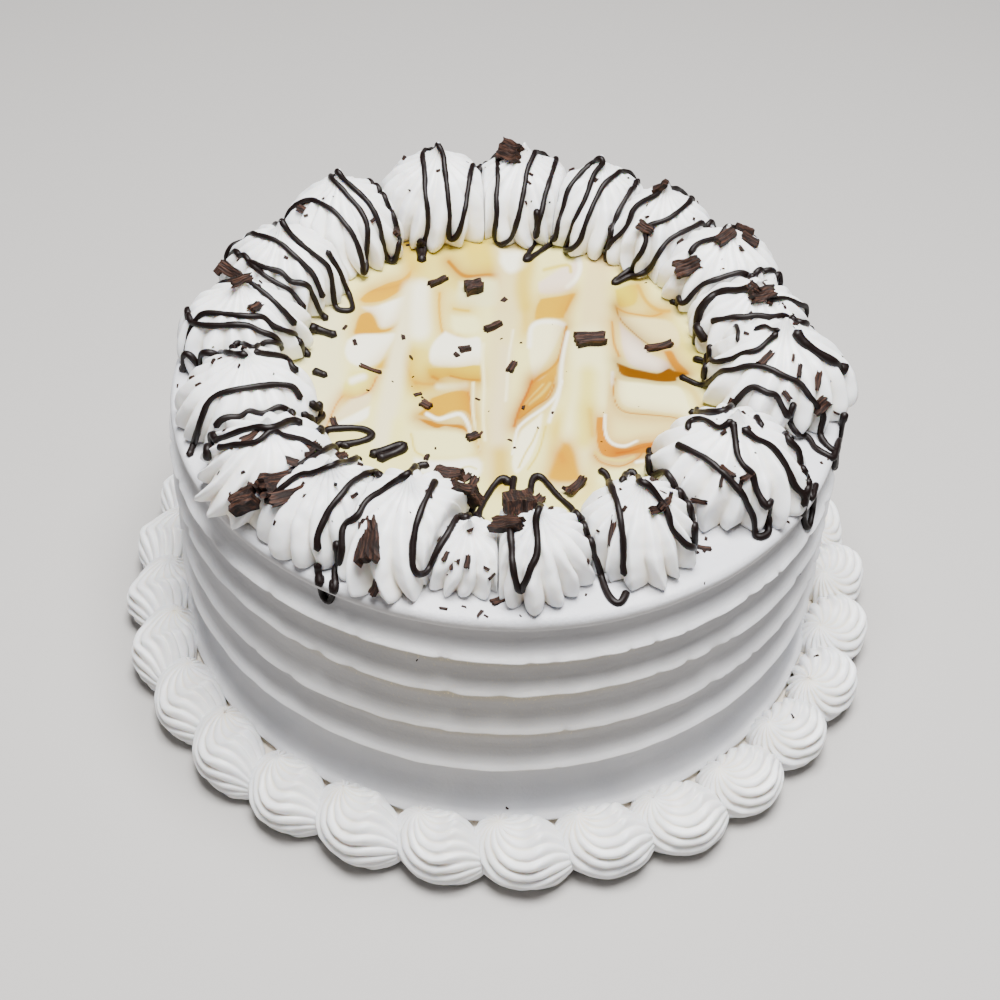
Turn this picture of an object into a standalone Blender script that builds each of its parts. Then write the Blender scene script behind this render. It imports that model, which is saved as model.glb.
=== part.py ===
"""Round iced cream cake with ribbed sides, a marbled glaze and a piped border.

Metres, +Z up. The origin is the centre of the cake's flat underside, and the
front of the cake faces -Y. Places round the cake are given as an azimuth in
degrees, from +X towards +Y, and a distance from the upright axis.
"""
import math
import random

import bmesh
import bpy
from mathutils import Matrix, Vector
from mathutils.kdtree import KDTree

MM = 0.001
GAP = 0.3 * MM
SHARP_ANGLE = math.radians(50)

# Cake body: the side is scraped into bands, each flaring out to a crisp lip
BODY_SIDES = 36
CAKE_TOP = 97.7 * MM
RIM_RADIUS = 104.6 * MM
RIM_ROUND = 2.6 * MM
NECK_RADIUS = 103.4 * MM
NECK_DEPTH = 6.2 * MM
LIP_RADIUS = 105.6 * MM
GROOVE_RADIUS = 102.8 * MM
LIP_UNDERCUT = 1.0 * MM
LIP_HEIGHTS = [82.5 * MM, 68.4 * MM, 52.0 * MM, 36.3 * MM, 12.0 * MM]
FOOT_RADIUS = 107.0 * MM
FOOT_TOP_RADIUS = 106.0 * MM
FOOT_HEIGHT = 8.0 * MM

# Marbled glaze: it fills a shallow well in the top of the cake
WELL_RADIUS = 80.0 * MM
WELL_DEPTH = 2.0 * MM

# Rosettes, in order round the cake: azimuth, distance from the axis,
# radius of the foot and height in millimetres, number of ridges
ROSETTES = [
    (-141.5, 86.5, 21.5, 27, 11),
    (-125.0, 85.0, 19.5, 26, 12),
    (-108.4, 82.0, 23.0, 27, 11),
    (-96.0, 85.0, 14.0, 19, 9),
    (-83.2, 84.5, 17.5, 25, 10),
    (-62.5, 83.0, 18.5, 26, 11),
    (-35.4, 80.5, 24.0, 29, 12),
    (-2.7, 83.0, 24.0, 29, 13),
    (17.3, 80.5, 21.0, 25, 11),
    (35.7, 85.5, 20.5, 26, 11),
    (54.2, 85.0, 20.0, 26, 11),
    (70.5, 85.0, 19.5, 26, 12),
    (88.0, 84.5, 20.0, 26, 11),
    (107.0, 84.5, 21.0, 27, 12),
    (130.3, 85.5, 21.0, 27, 11),
    (151.7, 83.5, 21.5, 26, 12),
    (173.8, 83.0, 21.5, 26, 12),
    (-162.5, 81.5, 21.5, 27, 13),
]
# Rosette outline, foot to tip: share of the height, share of the foot radius
ROSETTE_OUTLINE = [(0.0, 1.0), (0.44, 0.91), (0.70, 0.56), (0.89, 0.17)]
ROSETTE_GROOVE = 0.19
ROSETTE_GROOVE_AT_TIP = 0.1
ROSETTE_TWIST = math.radians(16)
ROSETTE_TURN = math.radians(40)
CONTACT_GAP = 0.25 * MM

# Shell border: domes piped one against the next round the foot of the cake
SHELL_COUNT = 29
SHELL_RING_RADIUS = 117.2 * MM
SHELL_HALF_DEPTH = 9.7 * MM
SHELL_HEIGHT = 20.5 * MM
SHELL_START_AZIMUTH = -84.7
SHELL_CRESTS = 5
SHELL_GROOVE = 0.13
# Shell sections along the piping: place from head to tail, share of full size
SHELL_SECTIONS = [(0.0, 0.58), (0.16, 0.92), (0.60, 1.0), (1.0, 0.60)]

# Drizzle: one thin run of chocolate that swings in and out across the rosettes.
# Each turn of the swing is an azimuth in degrees and a distance in millimetres.
DRIZZLE_TURNS = [
    (-153, 103), (-156, 61), (-150, 97), (-147, 101), (-140, 51), (-136, 92), (-130, 48),
    (-121, 98), (-115, 107), (-114, 50), (-103, 98), (-96, 66), (-95, 80), (-90, 49), (-87, 62),
    (-86, 50), (-86, 100), (-77, 49), (-71, 102), (-69, 98), (-58, 53), (-55, 95), (-38, 56),
    (-45, 102), (-36, 80), (-36, 105), (-24, 78), (-16, 59), (-22, 104), (-14, 82), (1, 54),
    (-3, 102), (11, 59), (5, 100), (19, 63), (14, 101), (28, 64), (24, 102), (37, 66),
    (34, 103), (46, 66), (44, 104), (54, 59), (51, 104), (64, 66), (60, 104), (73, 66),
    (70, 105), (80, 64), (81, 105), (87, 60), (87, 105), (105, 66), (107, 106), (118, 62),
    (114, 105), (126, 66), (122, 105), (136, 66), (133, 105), (147, 63), (144, 104), (160, 61),
    (158, 102), (168, 57), (167, 101), (178, 61), (176, 100), (-174, 56), (-172, 97),
    (-165, 61), (-164, 101),
]
STRAND_HALF_WIDTH = 1.5 * MM
STRAND_HEIGHT = 2.0 * MM
STRAND_REACH = 0.86
STRAND_CLEARANCE = 1.9 * MM
STRAND_LEAN = 0.6
LINK_LENGTH = 16.0 * MM
LINK_OVERLAP = 0.75 * MM
POINT_STEP = 1.0 * MM
SMOOTHING_ROUNDS = 3
SHORTEST_RUN = 6

# Fusing: toppings are sunk, and nudged until no two corners of the cut lie too close
SINK_IN_CREAM = 5.5 * MM
SINK_IN_GLAZE = 1.1 * MM
NUDGES = [step * 0.04 * MM for step in range(12)]
TOO_CLOSE = 0.006 * MM

# Chocolate chunks: azimuth, distance, length, width, height in millimetres,
# and the angle of the long side to the direction away from the axis
CHUNKS = [
    (-131.5, 92, 15, 7, 3.5, 60), (-137.5, 99, 8, 7, 3.5, 20), (-110.5, 97, 12, 6.5, 4, 10),
    (-102.5, 69, 9, 6, 3.5, 70), (-84.0, 79, 13, 9, 4.5, 20), (-73.5, 70, 9, 4, 3, 30),
    (-18.3, 93, 7, 5, 3, 0), (14.4, 82, 12, 8, 4, 70), (41.6, 79, 9, 6, 3.5, 40),
    (57.6, 93, 8, 5, 3.5, 15), (89.0, 96, 14, 9, 4.5, 75), (139.1, 91, 8, 6, 3.5, 50),
    (161.5, 92, 12, 7, 4, 80), (33.8, 31.7, 9, 4.5, 3, 56), (105.4, 44.7, 7, 6.5, 3, 5),
    (117.7, 52.2, 7, 3.5, 2.5, 60), (101.9, 24.0, 6, 3.5, 2.5, 50), (18.3, 48.0, 8, 3.5, 2.5, 80),
    (56.0, 3.5, 5.5, 3.5, 2, 10), (-143.9, 30.0, 5, 3.5, 2, 70), (-105.4, 31.8, 5, 3, 2, 30),
]
CHUNK_LEAST_SHARE = 0.75

CREAM = (0.93, 0.92, 0.90, 1.0)
GLAZE_YELLOW = (0.90, 0.74, 0.42, 1.0)


def clear_scene():
    for obj in list(bpy.data.objects):
        bpy.data.objects.remove(obj)


def make_material(name, colour, roughness):
    """A plain finish with the food's own colour."""
    material = bpy.data.materials.new(name)
    material.use_nodes = True
    shader = material.node_tree.nodes["Principled BSDF"]
    shader.inputs["Base Color"].default_value = colour
    shader.inputs["Roughness"].default_value = roughness
    shader.inputs["Metallic"].default_value = 0.0
    return material


def polar(azimuth, distance, height=0.0):
    """A point from its azimuth in degrees, its distance from the axis and its height."""
    angle = math.radians(azimuth)
    return Vector((distance * math.cos(angle), distance * math.sin(angle), height))


def add_object(name, bm, material=None):
    """Turns a bmesh into a named object, with its faces pointing out."""
    bmesh.ops.recalc_face_normals(bm, faces=bm.faces)
    mesh = bpy.data.meshes.new(name)
    bm.to_mesh(mesh)
    bm.free()
    mesh.set_sharp_from_angle(angle=SHARP_ANGLE)
    obj = bpy.data.objects.new(name, mesh)
    bpy.context.scene.collection.objects.link(obj)
    if material:
        mesh.materials.append(material)
    return obj


def skin_rings(bm, rings):
    """Joins rings of points, each with the same count, and caps both ends."""
    loops = [[bm.verts.new(point) for point in ring] for ring in rings]
    count = len(rings[0])
    for lower, upper in zip(loops, loops[1:]):
        for i in range(count):
            j = (i + 1) % count
            bm.faces.new((lower[i], lower[j], upper[j], upper[i]))
    bm.faces.new(loops[0])
    bm.faces.new(loops[-1])
    return loops


def turned_ring(radius, height):
    step = 360 / BODY_SIDES
    return [polar(i * step, radius, height) for i in range(BODY_SIDES)]


def body_profile():
    """Outer profile of the cake, from the foot up to the floor of the glaze's well."""
    profile = [(FOOT_RADIUS, 0.0), (FOOT_TOP_RADIUS, FOOT_HEIGHT)]
    for lip in reversed(LIP_HEIGHTS):
        profile.append((GROOVE_RADIUS, lip - LIP_UNDERCUT))
        profile.append((LIP_RADIUS, lip))
    profile += [
        (NECK_RADIUS, CAKE_TOP - NECK_DEPTH),
        (RIM_RADIUS, CAKE_TOP - RIM_ROUND),
        (RIM_RADIUS - RIM_ROUND, CAKE_TOP),
        (WELL_RADIUS, CAKE_TOP),
        (WELL_RADIUS, CAKE_TOP - WELL_DEPTH),
    ]
    return profile


def make_cake_body(material):
    bm = bmesh.new()
    skin_rings(bm, [turned_ring(radius, height) for radius, height in body_profile()])
    return add_object("cake_body", bm, material)


def make_glaze(material):
    bm = bmesh.new()
    radius = WELL_RADIUS - GAP
    floor = CAKE_TOP - WELL_DEPTH + GAP
    skin_rings(bm, [turned_ring(radius, floor), turned_ring(radius, CAKE_TOP)])
    return add_object("marbled_glaze", bm, material)


def rosette_centre(index):
    azimuth, distance = ROSETTES[index][:2]
    return polar(azimuth, distance * MM)


def contact_plane(index, neighbour):
    """The upright plane where a rosette meets its neighbour: a point and its direction."""
    here, there = rosette_centre(index), rosette_centre(neighbour)
    own, other = ROSETTES[index][2], ROSETTES[neighbour][2]
    direction = (there - here).normalized()
    point = here.lerp(there, own / (own + other)) - direction * CONTACT_GAP
    return point, direction


def contact_planes(index):
    count = len(ROSETTES)
    return [contact_plane(index, (index + side) % count) for side in (-1, 1)]


def press_flat(point, planes):
    """Moves a point that has passed a plane back onto it."""
    for origin, direction in planes:
        depth = (point - origin).dot(direction)
        if depth > 0:
            point = point - direction * depth
    return point


def star_ring(centre, radius, height, ridges, groove, turn):
    """One level of a rosette: a star with rounded points and narrow grooves."""
    ring = []
    for i in range(2 * ridges):
        reach = radius * (1.0 if i % 2 == 0 else 1.0 - groove)
        angle = turn + math.pi * i / ridges
        ring.append(centre + Vector((reach * math.cos(angle), reach * math.sin(angle), height)))
    return ring


def rosette_bmesh(index):
    foot, height, ridges = ROSETTES[index][2:]
    centre = rosette_centre(index) + Vector((0, 0, CAKE_TOP + GAP))
    planes = contact_planes(index)
    rings = []
    for rise, share in ROSETTE_OUTLINE:
        turn = index * ROSETTE_TURN + ROSETTE_TWIST * rise
        groove = ROSETTE_GROOVE + (ROSETTE_GROOVE_AT_TIP - ROSETTE_GROOVE) * rise
        ring = star_ring(centre, foot * MM * share, height * MM * rise, ridges, groove, turn)
        rings.append([press_flat(point, planes) for point in ring])
    bm = bmesh.new()
    loops = skin_rings(bm, rings)
    top_cap = bm.faces.get(loops[-1])
    tip_height = height * MM * (1 - ROSETTE_OUTLINE[-1][0])
    tip = bmesh.ops.poke(bm, faces=[top_cap])["verts"][0]
    tip.co.z += tip_height
    return bm


def drizzle_points():
    """Closely spaced points along the drizzle, seen from above, with rounded turns."""
    corners = [polar(azimuth, distance * MM) for azimuth, distance in DRIZZLE_TURNS]
    points = []
    count = len(corners)
    for i in range(count):
        here, there = corners[i], corners[(i + 1) % count]
        pieces = max(2, round((there - here).length / POINT_STEP))
        points += [here.lerp(there, step / pieces) for step in range(pieces)]
    for _ in range(SMOOTHING_ROUNDS):
        after = points[1:] + points[:1]
        before = points[-1:] + points[:-1]
        points = [(a + b * 2 + c) / 4 for a, b, c in zip(before, points, after)]
    return points


def rosette_owner(point):
    """The rosette that carries a point of the drizzle, clear of its neighbours, or None."""
    for index, (_, _, foot, _, _) in enumerate(ROSETTES):
        if (point - rosette_centre(index)).length > foot * MM * STRAND_REACH:
            continue
        if all((point - origin).dot(direction) < -STRAND_CLEARANCE
               for origin, direction in contact_planes(index)):
            return index
    return None


def owner_of(point):
    """What a point of the drizzle lies on: a rosette's index, the glaze or nothing."""
    index = rosette_owner(point)
    if index is not None:
        return index
    reach = min((point - rosette_centre(i)).length - row[2] * MM
                for i, row in enumerate(ROSETTES))
    if reach > STRAND_CLEARANCE and point.length < WELL_RADIUS - STRAND_CLEARANCE:
        return "glaze"
    return None


def drizzle_runs():
    """Cuts the drizzle into runs, each on one owner, and thins their points."""
    runs = []
    last = None
    for point in drizzle_points():
        owner = owner_of(point)
        if owner is None:
            last = None
            continue
        if owner != last:
            runs.append((owner, []))
            last = owner
        runs[-1][1].append(point)
    return [(owner, thin_points(points)) for owner, points in runs if len(points) >= SHORTEST_RUN]


def thin_points(points):
    """Keeps evenly spaced points of a run, about one link apart."""
    links = max(1, round(len(points) * POINT_STEP / LINK_LENGTH))
    last = len(points) - 1
    return [points[round(last * i / links)] for i in range(links + 1)]


def crest_height(index, reach):
    """The height of a rosette's ridges at a distance from its upright axis, and their slope."""
    foot, height = ROSETTES[index][2:4]
    corners = [(0.0, 1.0)] + [(share, rise) for rise, share in reversed(ROSETTE_OUTLINE)]
    for (inner, upper), (outer, lower) in zip(corners, corners[1:]):
        if reach <= outer * foot * MM:
            break
    slope = (upper - lower) * height / ((outer - inner) * foot)
    return CAKE_TOP + GAP + lower * height * MM + slope * (outer * foot * MM - reach), slope


def resting_place(owner, point):
    """Where a topping rests on the glaze or on a rosette's ridges, and which way it points up."""
    if owner == "glaze":
        return Vector((point.x, point.y, CAKE_TOP)), Vector((0, 0, 1))
    outward = point - rosette_centre(owner)
    height, slope = crest_height(owner, outward.length)
    up = Vector((0, 0, 1)) + outward.normalized() * min(slope, STRAND_LEAN)
    return Vector((point.x, point.y, height)), up.normalized()


def sink_in(owner):
    """How deep a topping is sunk: on a rosette so deep that it bridges no groove."""
    return SINK_IN_GLAZE if owner == "glaze" else SINK_IN_CREAM


def strand_link(start, end, sink):
    """One straight three-sided link of the drizzle."""
    along = (end[0] - start[0]).normalized() * LINK_OVERLAP
    rings = []
    for (place, up), push in ((start, -along), (end, along)):
        side = along.cross(up).normalized() * STRAND_HALF_WIDTH
        low = place + push - up * sink
        rings.append([low - side, low + side, place + push + up * STRAND_HEIGHT])
    bm = bmesh.new()
    skin_rings(bm, rings)
    return add_object("strand", bm)


def strand_links(owner, points):
    """A run of drizzle as a chain of overlapping straight links."""
    places = [resting_place(owner, point) for point in points]
    return [strand_link(start, end, sink_in(owner)) for start, end in zip(places, places[1:])]


def chunk_object(owner, number):
    """A broken block of chocolate, part sunk in what it lies on and leaning with it."""
    azimuth, distance, length, width, height, heading = CHUNKS[number]
    place, up = resting_place(owner, polar(azimuth, distance * MM))
    draw = random.Random(number)
    bm = bmesh.new()
    bmesh.ops.create_cube(bm, size=1.0)
    for vert in bm.verts:
        top = vert.co.z > 0
        vert.co.x *= length * MM * draw.uniform(CHUNK_LEAST_SHARE, 1.0)
        vert.co.y *= width * MM * draw.uniform(CHUNK_LEAST_SHARE, 1.0)
        vert.co.z = height * MM * draw.uniform(CHUNK_LEAST_SHARE, 1.0) if top else -sink_in(owner)
    turn = Matrix.Rotation(math.radians(azimuth + heading), 4, "Z")
    lean = Vector((0, 0, 1)).rotation_difference(up).to_matrix().to_4x4()
    bm.transform(Matrix.Translation(place) @ lean @ turn)
    return add_object("chunk", bm)


def union_with(obj, pieces):
    """The mesh of an object joined to small pieces by one Boolean union."""
    group = bpy.data.collections.new("pieces")
    bpy.context.scene.collection.children.link(group)
    for piece in pieces:
        group.objects.link(piece)
    union = obj.modifiers.new("fuse", "BOOLEAN")
    union.operation = "UNION"
    union.operand_type = "COLLECTION"
    union.collection = group
    union.solver = "MANIFOLD"
    graph = bpy.context.evaluated_depsgraph_get()
    fused = bpy.data.meshes.new_from_object(obj.evaluated_get(graph))
    obj.modifiers.clear()
    for piece in pieces:
        bpy.data.objects.remove(piece)
    bpy.data.collections.remove(group)
    return fused


def is_crisp(mesh):
    """Whether no two corners of a mesh all but touch, as they do at a grazing cut."""
    tree = KDTree(len(mesh.vertices))
    for vert in mesh.vertices:
        tree.insert(vert.co, vert.index)
    tree.balance()
    return all(len(tree.find_range(vert.co, TOO_CLOSE)) == 1 for vert in mesh.vertices)


def body_of_face(face):
    """All the faces that are joined to one face, edge to edge."""
    body, waiting = {face}, [face]
    while waiting:
        for edge in waiting.pop().edges:
            fresh = [other for other in edge.link_faces if other not in body]
            body.update(fresh)
            waiting += fresh
    return body


def drop_scrap(mesh):
    """Keeps the largest connected body of a mesh, as triangles."""
    bm = bmesh.new()
    bm.from_mesh(mesh)
    bmesh.ops.triangulate(bm, faces=bm.faces)
    left = set(bm.faces)
    bodies = []
    while left:
        body = body_of_face(next(iter(left)))
        left -= body
        bodies.append(body)
    bodies.sort(key=len)
    scrap = [face for body in bodies[:-1] for face in body]
    bmesh.ops.delete(bm, geom=scrap, context="FACES")
    bm.to_mesh(mesh)
    bm.free()


def toppings_of(owner, runs, nudge):
    """The drizzle links and chocolate chunks on one object, moved by a small nudge."""
    shift = Vector((nudge, -nudge, 0.0))
    pieces = []
    for name, points in runs:
        if name == owner:
            pieces += strand_links(owner, [point + shift for point in points])
    for number, (azimuth, distance, *_) in enumerate(CHUNKS):
        if owner_of(polar(azimuth, distance * MM)) == owner:
            pieces.append(chunk_object(owner, number))
    return pieces


def add_toppings(obj, owner, runs):
    """Fuses an object's toppings to it, nudging them until every cut is a crisp one."""
    for nudge in NUDGES:
        fused = union_with(obj, toppings_of(owner, runs, nudge))
        drop_scrap(fused)
        if is_crisp(fused):
            break
    material = obj.data.materials[0]
    obj.data = fused
    fused.materials.clear()
    fused.materials.append(material)


def make_rosettes(material, runs):
    for index in range(len(ROSETTES)):
        obj = add_object(f"rosette_{index + 1:02d}", rosette_bmesh(index), material)
        add_toppings(obj, index, runs)


def shell_section(azimuth, size):
    """One upright section of a shell: ridges fanned over the top, flat below."""
    section = []
    steps = 2 * SHELL_CRESTS
    for i in range(steps + 1):
        angle = math.pi * i / steps
        reach = size * (1.0 if i % 2 == 1 or i in (0, steps) else 1.0 - SHELL_GROOVE)
        distance = SHELL_RING_RADIUS + SHELL_HALF_DEPTH * reach * math.cos(angle)
        section.append(polar(azimuth, distance, SHELL_HEIGHT * reach * math.sin(angle)))
    return section


def make_shell(number, material):
    """A shell is piped along the ring: a round fat head, then a lower tail."""
    step = 360 / SHELL_COUNT
    gap = math.degrees(GAP / (SHELL_RING_RADIUS - SHELL_HALF_DEPTH))
    first = SHELL_START_AZIMUTH + (number - 0.5) * step + gap / 2
    length = step - gap
    bm = bmesh.new()
    skin_rings(bm, [shell_section(first + length * along, size) for along, size in SHELL_SECTIONS])
    return add_object(f"shell_{number + 1:02d}", bm, material)


def build():
    clear_scene()
    side_cream = make_material("side_cream", CREAM, 0.5)
    rosette_cream = make_material("rosette_cream", CREAM, 0.45)
    shell_cream = make_material("shell_cream", CREAM, 0.45)
    glaze_finish = make_material("marbled_glaze", GLAZE_YELLOW, 0.12)
    runs = drizzle_runs()
    make_cake_body(side_cream)
    glaze = make_glaze(glaze_finish)
    add_toppings(glaze, "glaze", runs)
    make_rosettes(rosette_cream, runs)
    for number in range(SHELL_COUNT):
        make_shell(number, shell_cream)


build()
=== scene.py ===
# %% [markdown]
# # A cream cake with piped rosettes, marbled glaze and chocolate drizzle
#
# This lesson dresses a plain frame of solids as the real cake. The cream is scraped and piped, the
# glaze is combed while wet, the drizzle falls last and lies over everything. Each step below makes
# one of these, in the order in which a pastry cook would, so that each one can lie on the one before.

import math
import random

import bpy
import numpy as np
from mathutils import Matrix, Vector
from mathutils.bvhtree import BVHTree


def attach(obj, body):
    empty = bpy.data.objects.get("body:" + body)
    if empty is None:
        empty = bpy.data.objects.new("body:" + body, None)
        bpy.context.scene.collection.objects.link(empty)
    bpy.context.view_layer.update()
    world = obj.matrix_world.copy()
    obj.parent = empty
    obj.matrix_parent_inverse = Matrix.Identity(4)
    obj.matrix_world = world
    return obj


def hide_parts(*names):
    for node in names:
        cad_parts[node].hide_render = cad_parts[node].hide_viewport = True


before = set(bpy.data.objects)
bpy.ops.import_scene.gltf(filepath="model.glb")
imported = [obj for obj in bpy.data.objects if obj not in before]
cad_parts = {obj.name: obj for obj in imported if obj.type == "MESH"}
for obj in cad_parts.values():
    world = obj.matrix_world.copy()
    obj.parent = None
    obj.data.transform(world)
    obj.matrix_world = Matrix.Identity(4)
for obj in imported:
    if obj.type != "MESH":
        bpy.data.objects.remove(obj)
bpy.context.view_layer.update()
MM = 0.001
print("frame:", len(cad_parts), "nodes")

# %% [markdown]
# ## The camera
#
# The photo looks down on the cake at about 43 degrees, with the camera turned a little about its own
# axis. The drizzle is drawn along routes read from the photo, so the camera is made first: a ray
# through a picture point then finds the place on the cream where the chocolate lies.

# %% Make the camera
PHOTO_SIZE = 1000
PHOTO_CENTRE = 500
FOCAL_PIXELS = 1700
SENSOR_WIDTH = 36
CAMERA_PLACE = Vector((-0.00054, -0.41419, 0.43503))
CAMERA_TILT = math.radians(46.645)
CAMERA_ROLL = math.radians(2.2185)

camera_data = bpy.data.cameras.new("photo_camera")
camera_data.sensor_width = SENSOR_WIDTH
camera_data.lens = SENSOR_WIDTH * FOCAL_PIXELS / PHOTO_SIZE
camera = bpy.data.objects.new("photo_camera", camera_data)
bpy.context.scene.collection.objects.link(camera)
camera_turn = Matrix.Rotation(CAMERA_TILT, 4, "X") @ Matrix.Rotation(CAMERA_ROLL, 4, "Z")
camera.matrix_world = Matrix.Translation(CAMERA_PLACE) @ camera_turn
bpy.context.scene.camera = camera
print("lens:", round(camera_data.lens, 1), "mm")

# %% [markdown]
# ## Tools for modelling by rings
#
# Everything piped or scraped on a turntable has a ring-shaped section, so the same few hand moves
# make it: add a circle, extrude it, scale the new ring, and go on. An operator acts on all that is
# selected, so each piece starts with nothing selected, and a new ring stays selected for the next move.

# %% Helpers for rings


def polar(azimuth, distance, height=0.0):
    """A point from its azimuth in degrees, its distance from the axis and its height."""
    angle = math.radians(azimuth)
    return Vector((distance * math.cos(angle), distance * math.sin(angle), height))


def start_ring(name, count, radius, height=0.0):
    """Adds a circle round the upright axis and opens it in edit mode, all selected."""
    bpy.ops.object.select_all(action="DESELECT")
    bpy.ops.mesh.primitive_circle_add(vertices=count, radius=radius, location=(0, 0, height))
    piece = bpy.context.object
    piece.name = name
    bpy.ops.object.transform_apply(location=True)
    bpy.ops.object.mode_set(mode="EDIT")
    bpy.ops.mesh.select_mode(type="VERT")
    bpy.ops.mesh.select_all(action="SELECT")
    return piece


def extrude_ring(rise, grow):
    """Extrudes the selected ring upwards, then scales it about the upright axis."""
    bpy.ops.mesh.extrude_edges_move(TRANSFORM_OT_translate={"value": (0, 0, rise)})
    bpy.ops.transform.resize(value=(grow, grow, 1), center_override=(0, 0, 0))


def close_piece():
    """Fills the open ends, points the faces out and leaves edit mode."""
    bpy.ops.mesh.select_all(action="SELECT")
    bpy.ops.mesh.fill_holes(sides=0)
    bpy.ops.mesh.normals_make_consistent(inside=False)
    bpy.ops.object.mode_set(mode="OBJECT")


print("a point in front, 100 mm out:", polar(-90, 100 * MM).to_tuple(3))

# %% Helpers for lumps and for points


def apply_modifier(piece, name, kind, **settings):
    """Adds a modifier with its settings and applies it."""
    modifier = piece.modifiers.new(name, kind)
    for key, value in settings.items():
        setattr(modifier, key, value)
    bpy.context.view_layer.objects.active = piece
    bpy.ops.object.modifier_apply(modifier=modifier.name)


def ruffle(piece, name, size, strength):
    """Moves a surface in and out by a cloudy noise with lumps of one size."""
    texture = bpy.data.textures.new(name, "CLOUDS")
    texture.noise_scale = size
    apply_modifier(piece, name, "DISPLACE", texture=texture, texture_coords="LOCAL", strength=strength)


def points_of(piece):
    """The places of a mesh's points as one array."""
    places = np.empty(len(piece.data.vertices) * 3)
    piece.data.vertices.foreach_get("co", places)
    return places.reshape(-1, 3)


def set_points(piece, places):
    """Puts a mesh's points at the places given."""
    piece.data.vertices.foreach_set("co", np.ascontiguousarray(places, dtype=np.float32).ravel())
    piece.data.update()


def finish_piece(piece, material, slot, *nodes):
    """Shades a piece smooth, gives it its finish and ties it to the frame."""
    piece.data.materials.clear()
    piece.data.materials.append(material)
    piece.data.shade_smooth()
    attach(piece, "root")
    if nodes:
        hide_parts(*nodes)


# %% [markdown]
# ## The creams
#
# Whipped cream is white fat full of air: light goes in, spreads and comes out soft, so the shader has
# some subsurface light. It isn't one flat white. The grooves between ridges are painted warmer and a
# little darker, a painted warm shade in the creases; broad patches drift a little between white and
# cool, and tiny bubbles pit the surface. One function makes the two piped creams, and a value stored
# on each mesh, 1 deep in a groove and 0 on a ridge, drives the painted shade.
# A finish could also be an image, but noise has no seam and stays sharp at every distance.

# %% Helpers for finishes


def new_finish(name, roughness):
    """A material with its node tree and its main shader."""
    material = bpy.data.materials.new(name)
    material.use_nodes = True
    shader = material.node_tree.nodes["Principled BSDF"]
    shader.inputs["Roughness"].default_value = roughness
    return material, material.node_tree, shader


def add_node(tree, kind, inputs=(), **settings):
    """Adds a node, with its settings, its input values or the sockets that feed them."""
    node = tree.nodes.new(kind)
    for key, value in settings.items():
        setattr(node, key, value)
    for key, value in dict(inputs).items():
        if isinstance(value, bpy.types.NodeSocket):
            tree.links.new(value, node.inputs[key])
        else:
            node.inputs[key].default_value = value
    return node


def noise(tree, scale, detail=2.0, stretch=(1, 1, 1)):
    """A noise value in the cake's own coordinates, with lumps 1 / scale metres apart."""
    places = add_node(tree, "ShaderNodeTexCoord").outputs["Object"]
    mapping = add_node(tree, "ShaderNodeMapping", {"Vector": places, "Scale": stretch})
    node = add_node(tree, "ShaderNodeTexNoise",
                    {"Vector": mapping.outputs["Vector"], "Scale": scale, "Detail": detail})
    return node.outputs["Fac"]


def remap(tree, value, low, high, out_low=0.0, out_high=1.0):
    """Stretches a value between two limits, and holds it there."""
    node = add_node(tree, "ShaderNodeMapRange", {
        "Value": value, "From Min": low, "From Max": high, "To Min": out_low, "To Max": out_high})
    return node.outputs["Result"]


def stored(tree, name, socket="Fac"):
    """Reads a value that a mesh keeps for each of its points."""
    return add_node(tree, "ShaderNodeAttribute", attribute_name=name).outputs[socket]


def reckon(tree, operation, *values):
    """One sum on values or sockets."""
    return add_node(tree, "ShaderNodeMath", dict(enumerate(values)), operation=operation).outputs[0]


def mix_colour(tree, share, first, second):
    """Goes from the first colour to the second as the share goes from 0 to 1."""
    node = add_node(tree, "ShaderNodeMix", data_type="RGBA")
    for socket, value in ((node.inputs[0], share), (node.inputs[6], first), (node.inputs[7], second)):
        if isinstance(value, bpy.types.NodeSocket):
            tree.links.new(value, socket)
        else:
            socket.default_value = value
    return node.outputs[2]


def add_bump(tree, shader, height, strength, distance):
    """Gives a surface fine relief from a value, without moving its points."""
    bump = add_node(tree, "ShaderNodeBump",
                    {"Height": height, "Strength": strength, "Distance": distance})
    tree.links.new(bump.outputs["Normal"], shader.inputs["Normal"])


SPREAD_OF_LIGHT = 3.0 * MM
SPREAD_BY_COLOUR = (1.0, 0.8, 0.6)


def soften(shader, weight):
    """Lets light spread under the surface, as it does in cream."""
    shader.inputs["Subsurface Weight"].default_value = weight
    shader.inputs["Subsurface Scale"].default_value = SPREAD_OF_LIGHT
    shader.inputs["Subsurface Radius"].default_value = SPREAD_BY_COLOUR


print("light spreads in cream:", round(SPREAD_OF_LIGHT / MM, 1), "mm")

# %% The piped creams
CREAM_WHITE = (0.90, 0.895, 0.885, 1)
CREAM_COOL = (0.88, 0.88, 0.89, 1)
# Painted warm shade for the grooves of the piped cream
CREAM_GROOVE_SHADE = (0.90, 0.80, 0.61, 1)
PIPED_ROUGHNESS = 0.42
PIPED_SOFTNESS = 0.35
GROOVE = "groove"


def piped_cream(name, groove_shade_strength):
    """Piped whipped cream, with a painted warm shade in its grooves by the given share."""
    material, tree, shader = new_finish(name, PIPED_ROUGHNESS)
    drift = remap(tree, noise(tree, scale=45, detail=3), 0.40, 0.62)
    colour = mix_colour(tree, drift, CREAM_WHITE, CREAM_COOL)
    # A painted warm shade, deepest in the grooves
    groove_shade = remap(tree, stored(tree, GROOVE), 0.35, 0.95, 0.0, groove_shade_strength)
    colour = mix_colour(tree, groove_shade, colour, CREAM_GROOVE_SHADE)
    tree.links.new(colour, shader.inputs["Base Color"])
    soften(shader, PIPED_SOFTNESS)
    add_bump(tree, shader, noise(tree, scale=1100), strength=0.22, distance=0.12 * MM)
    return material


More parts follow.
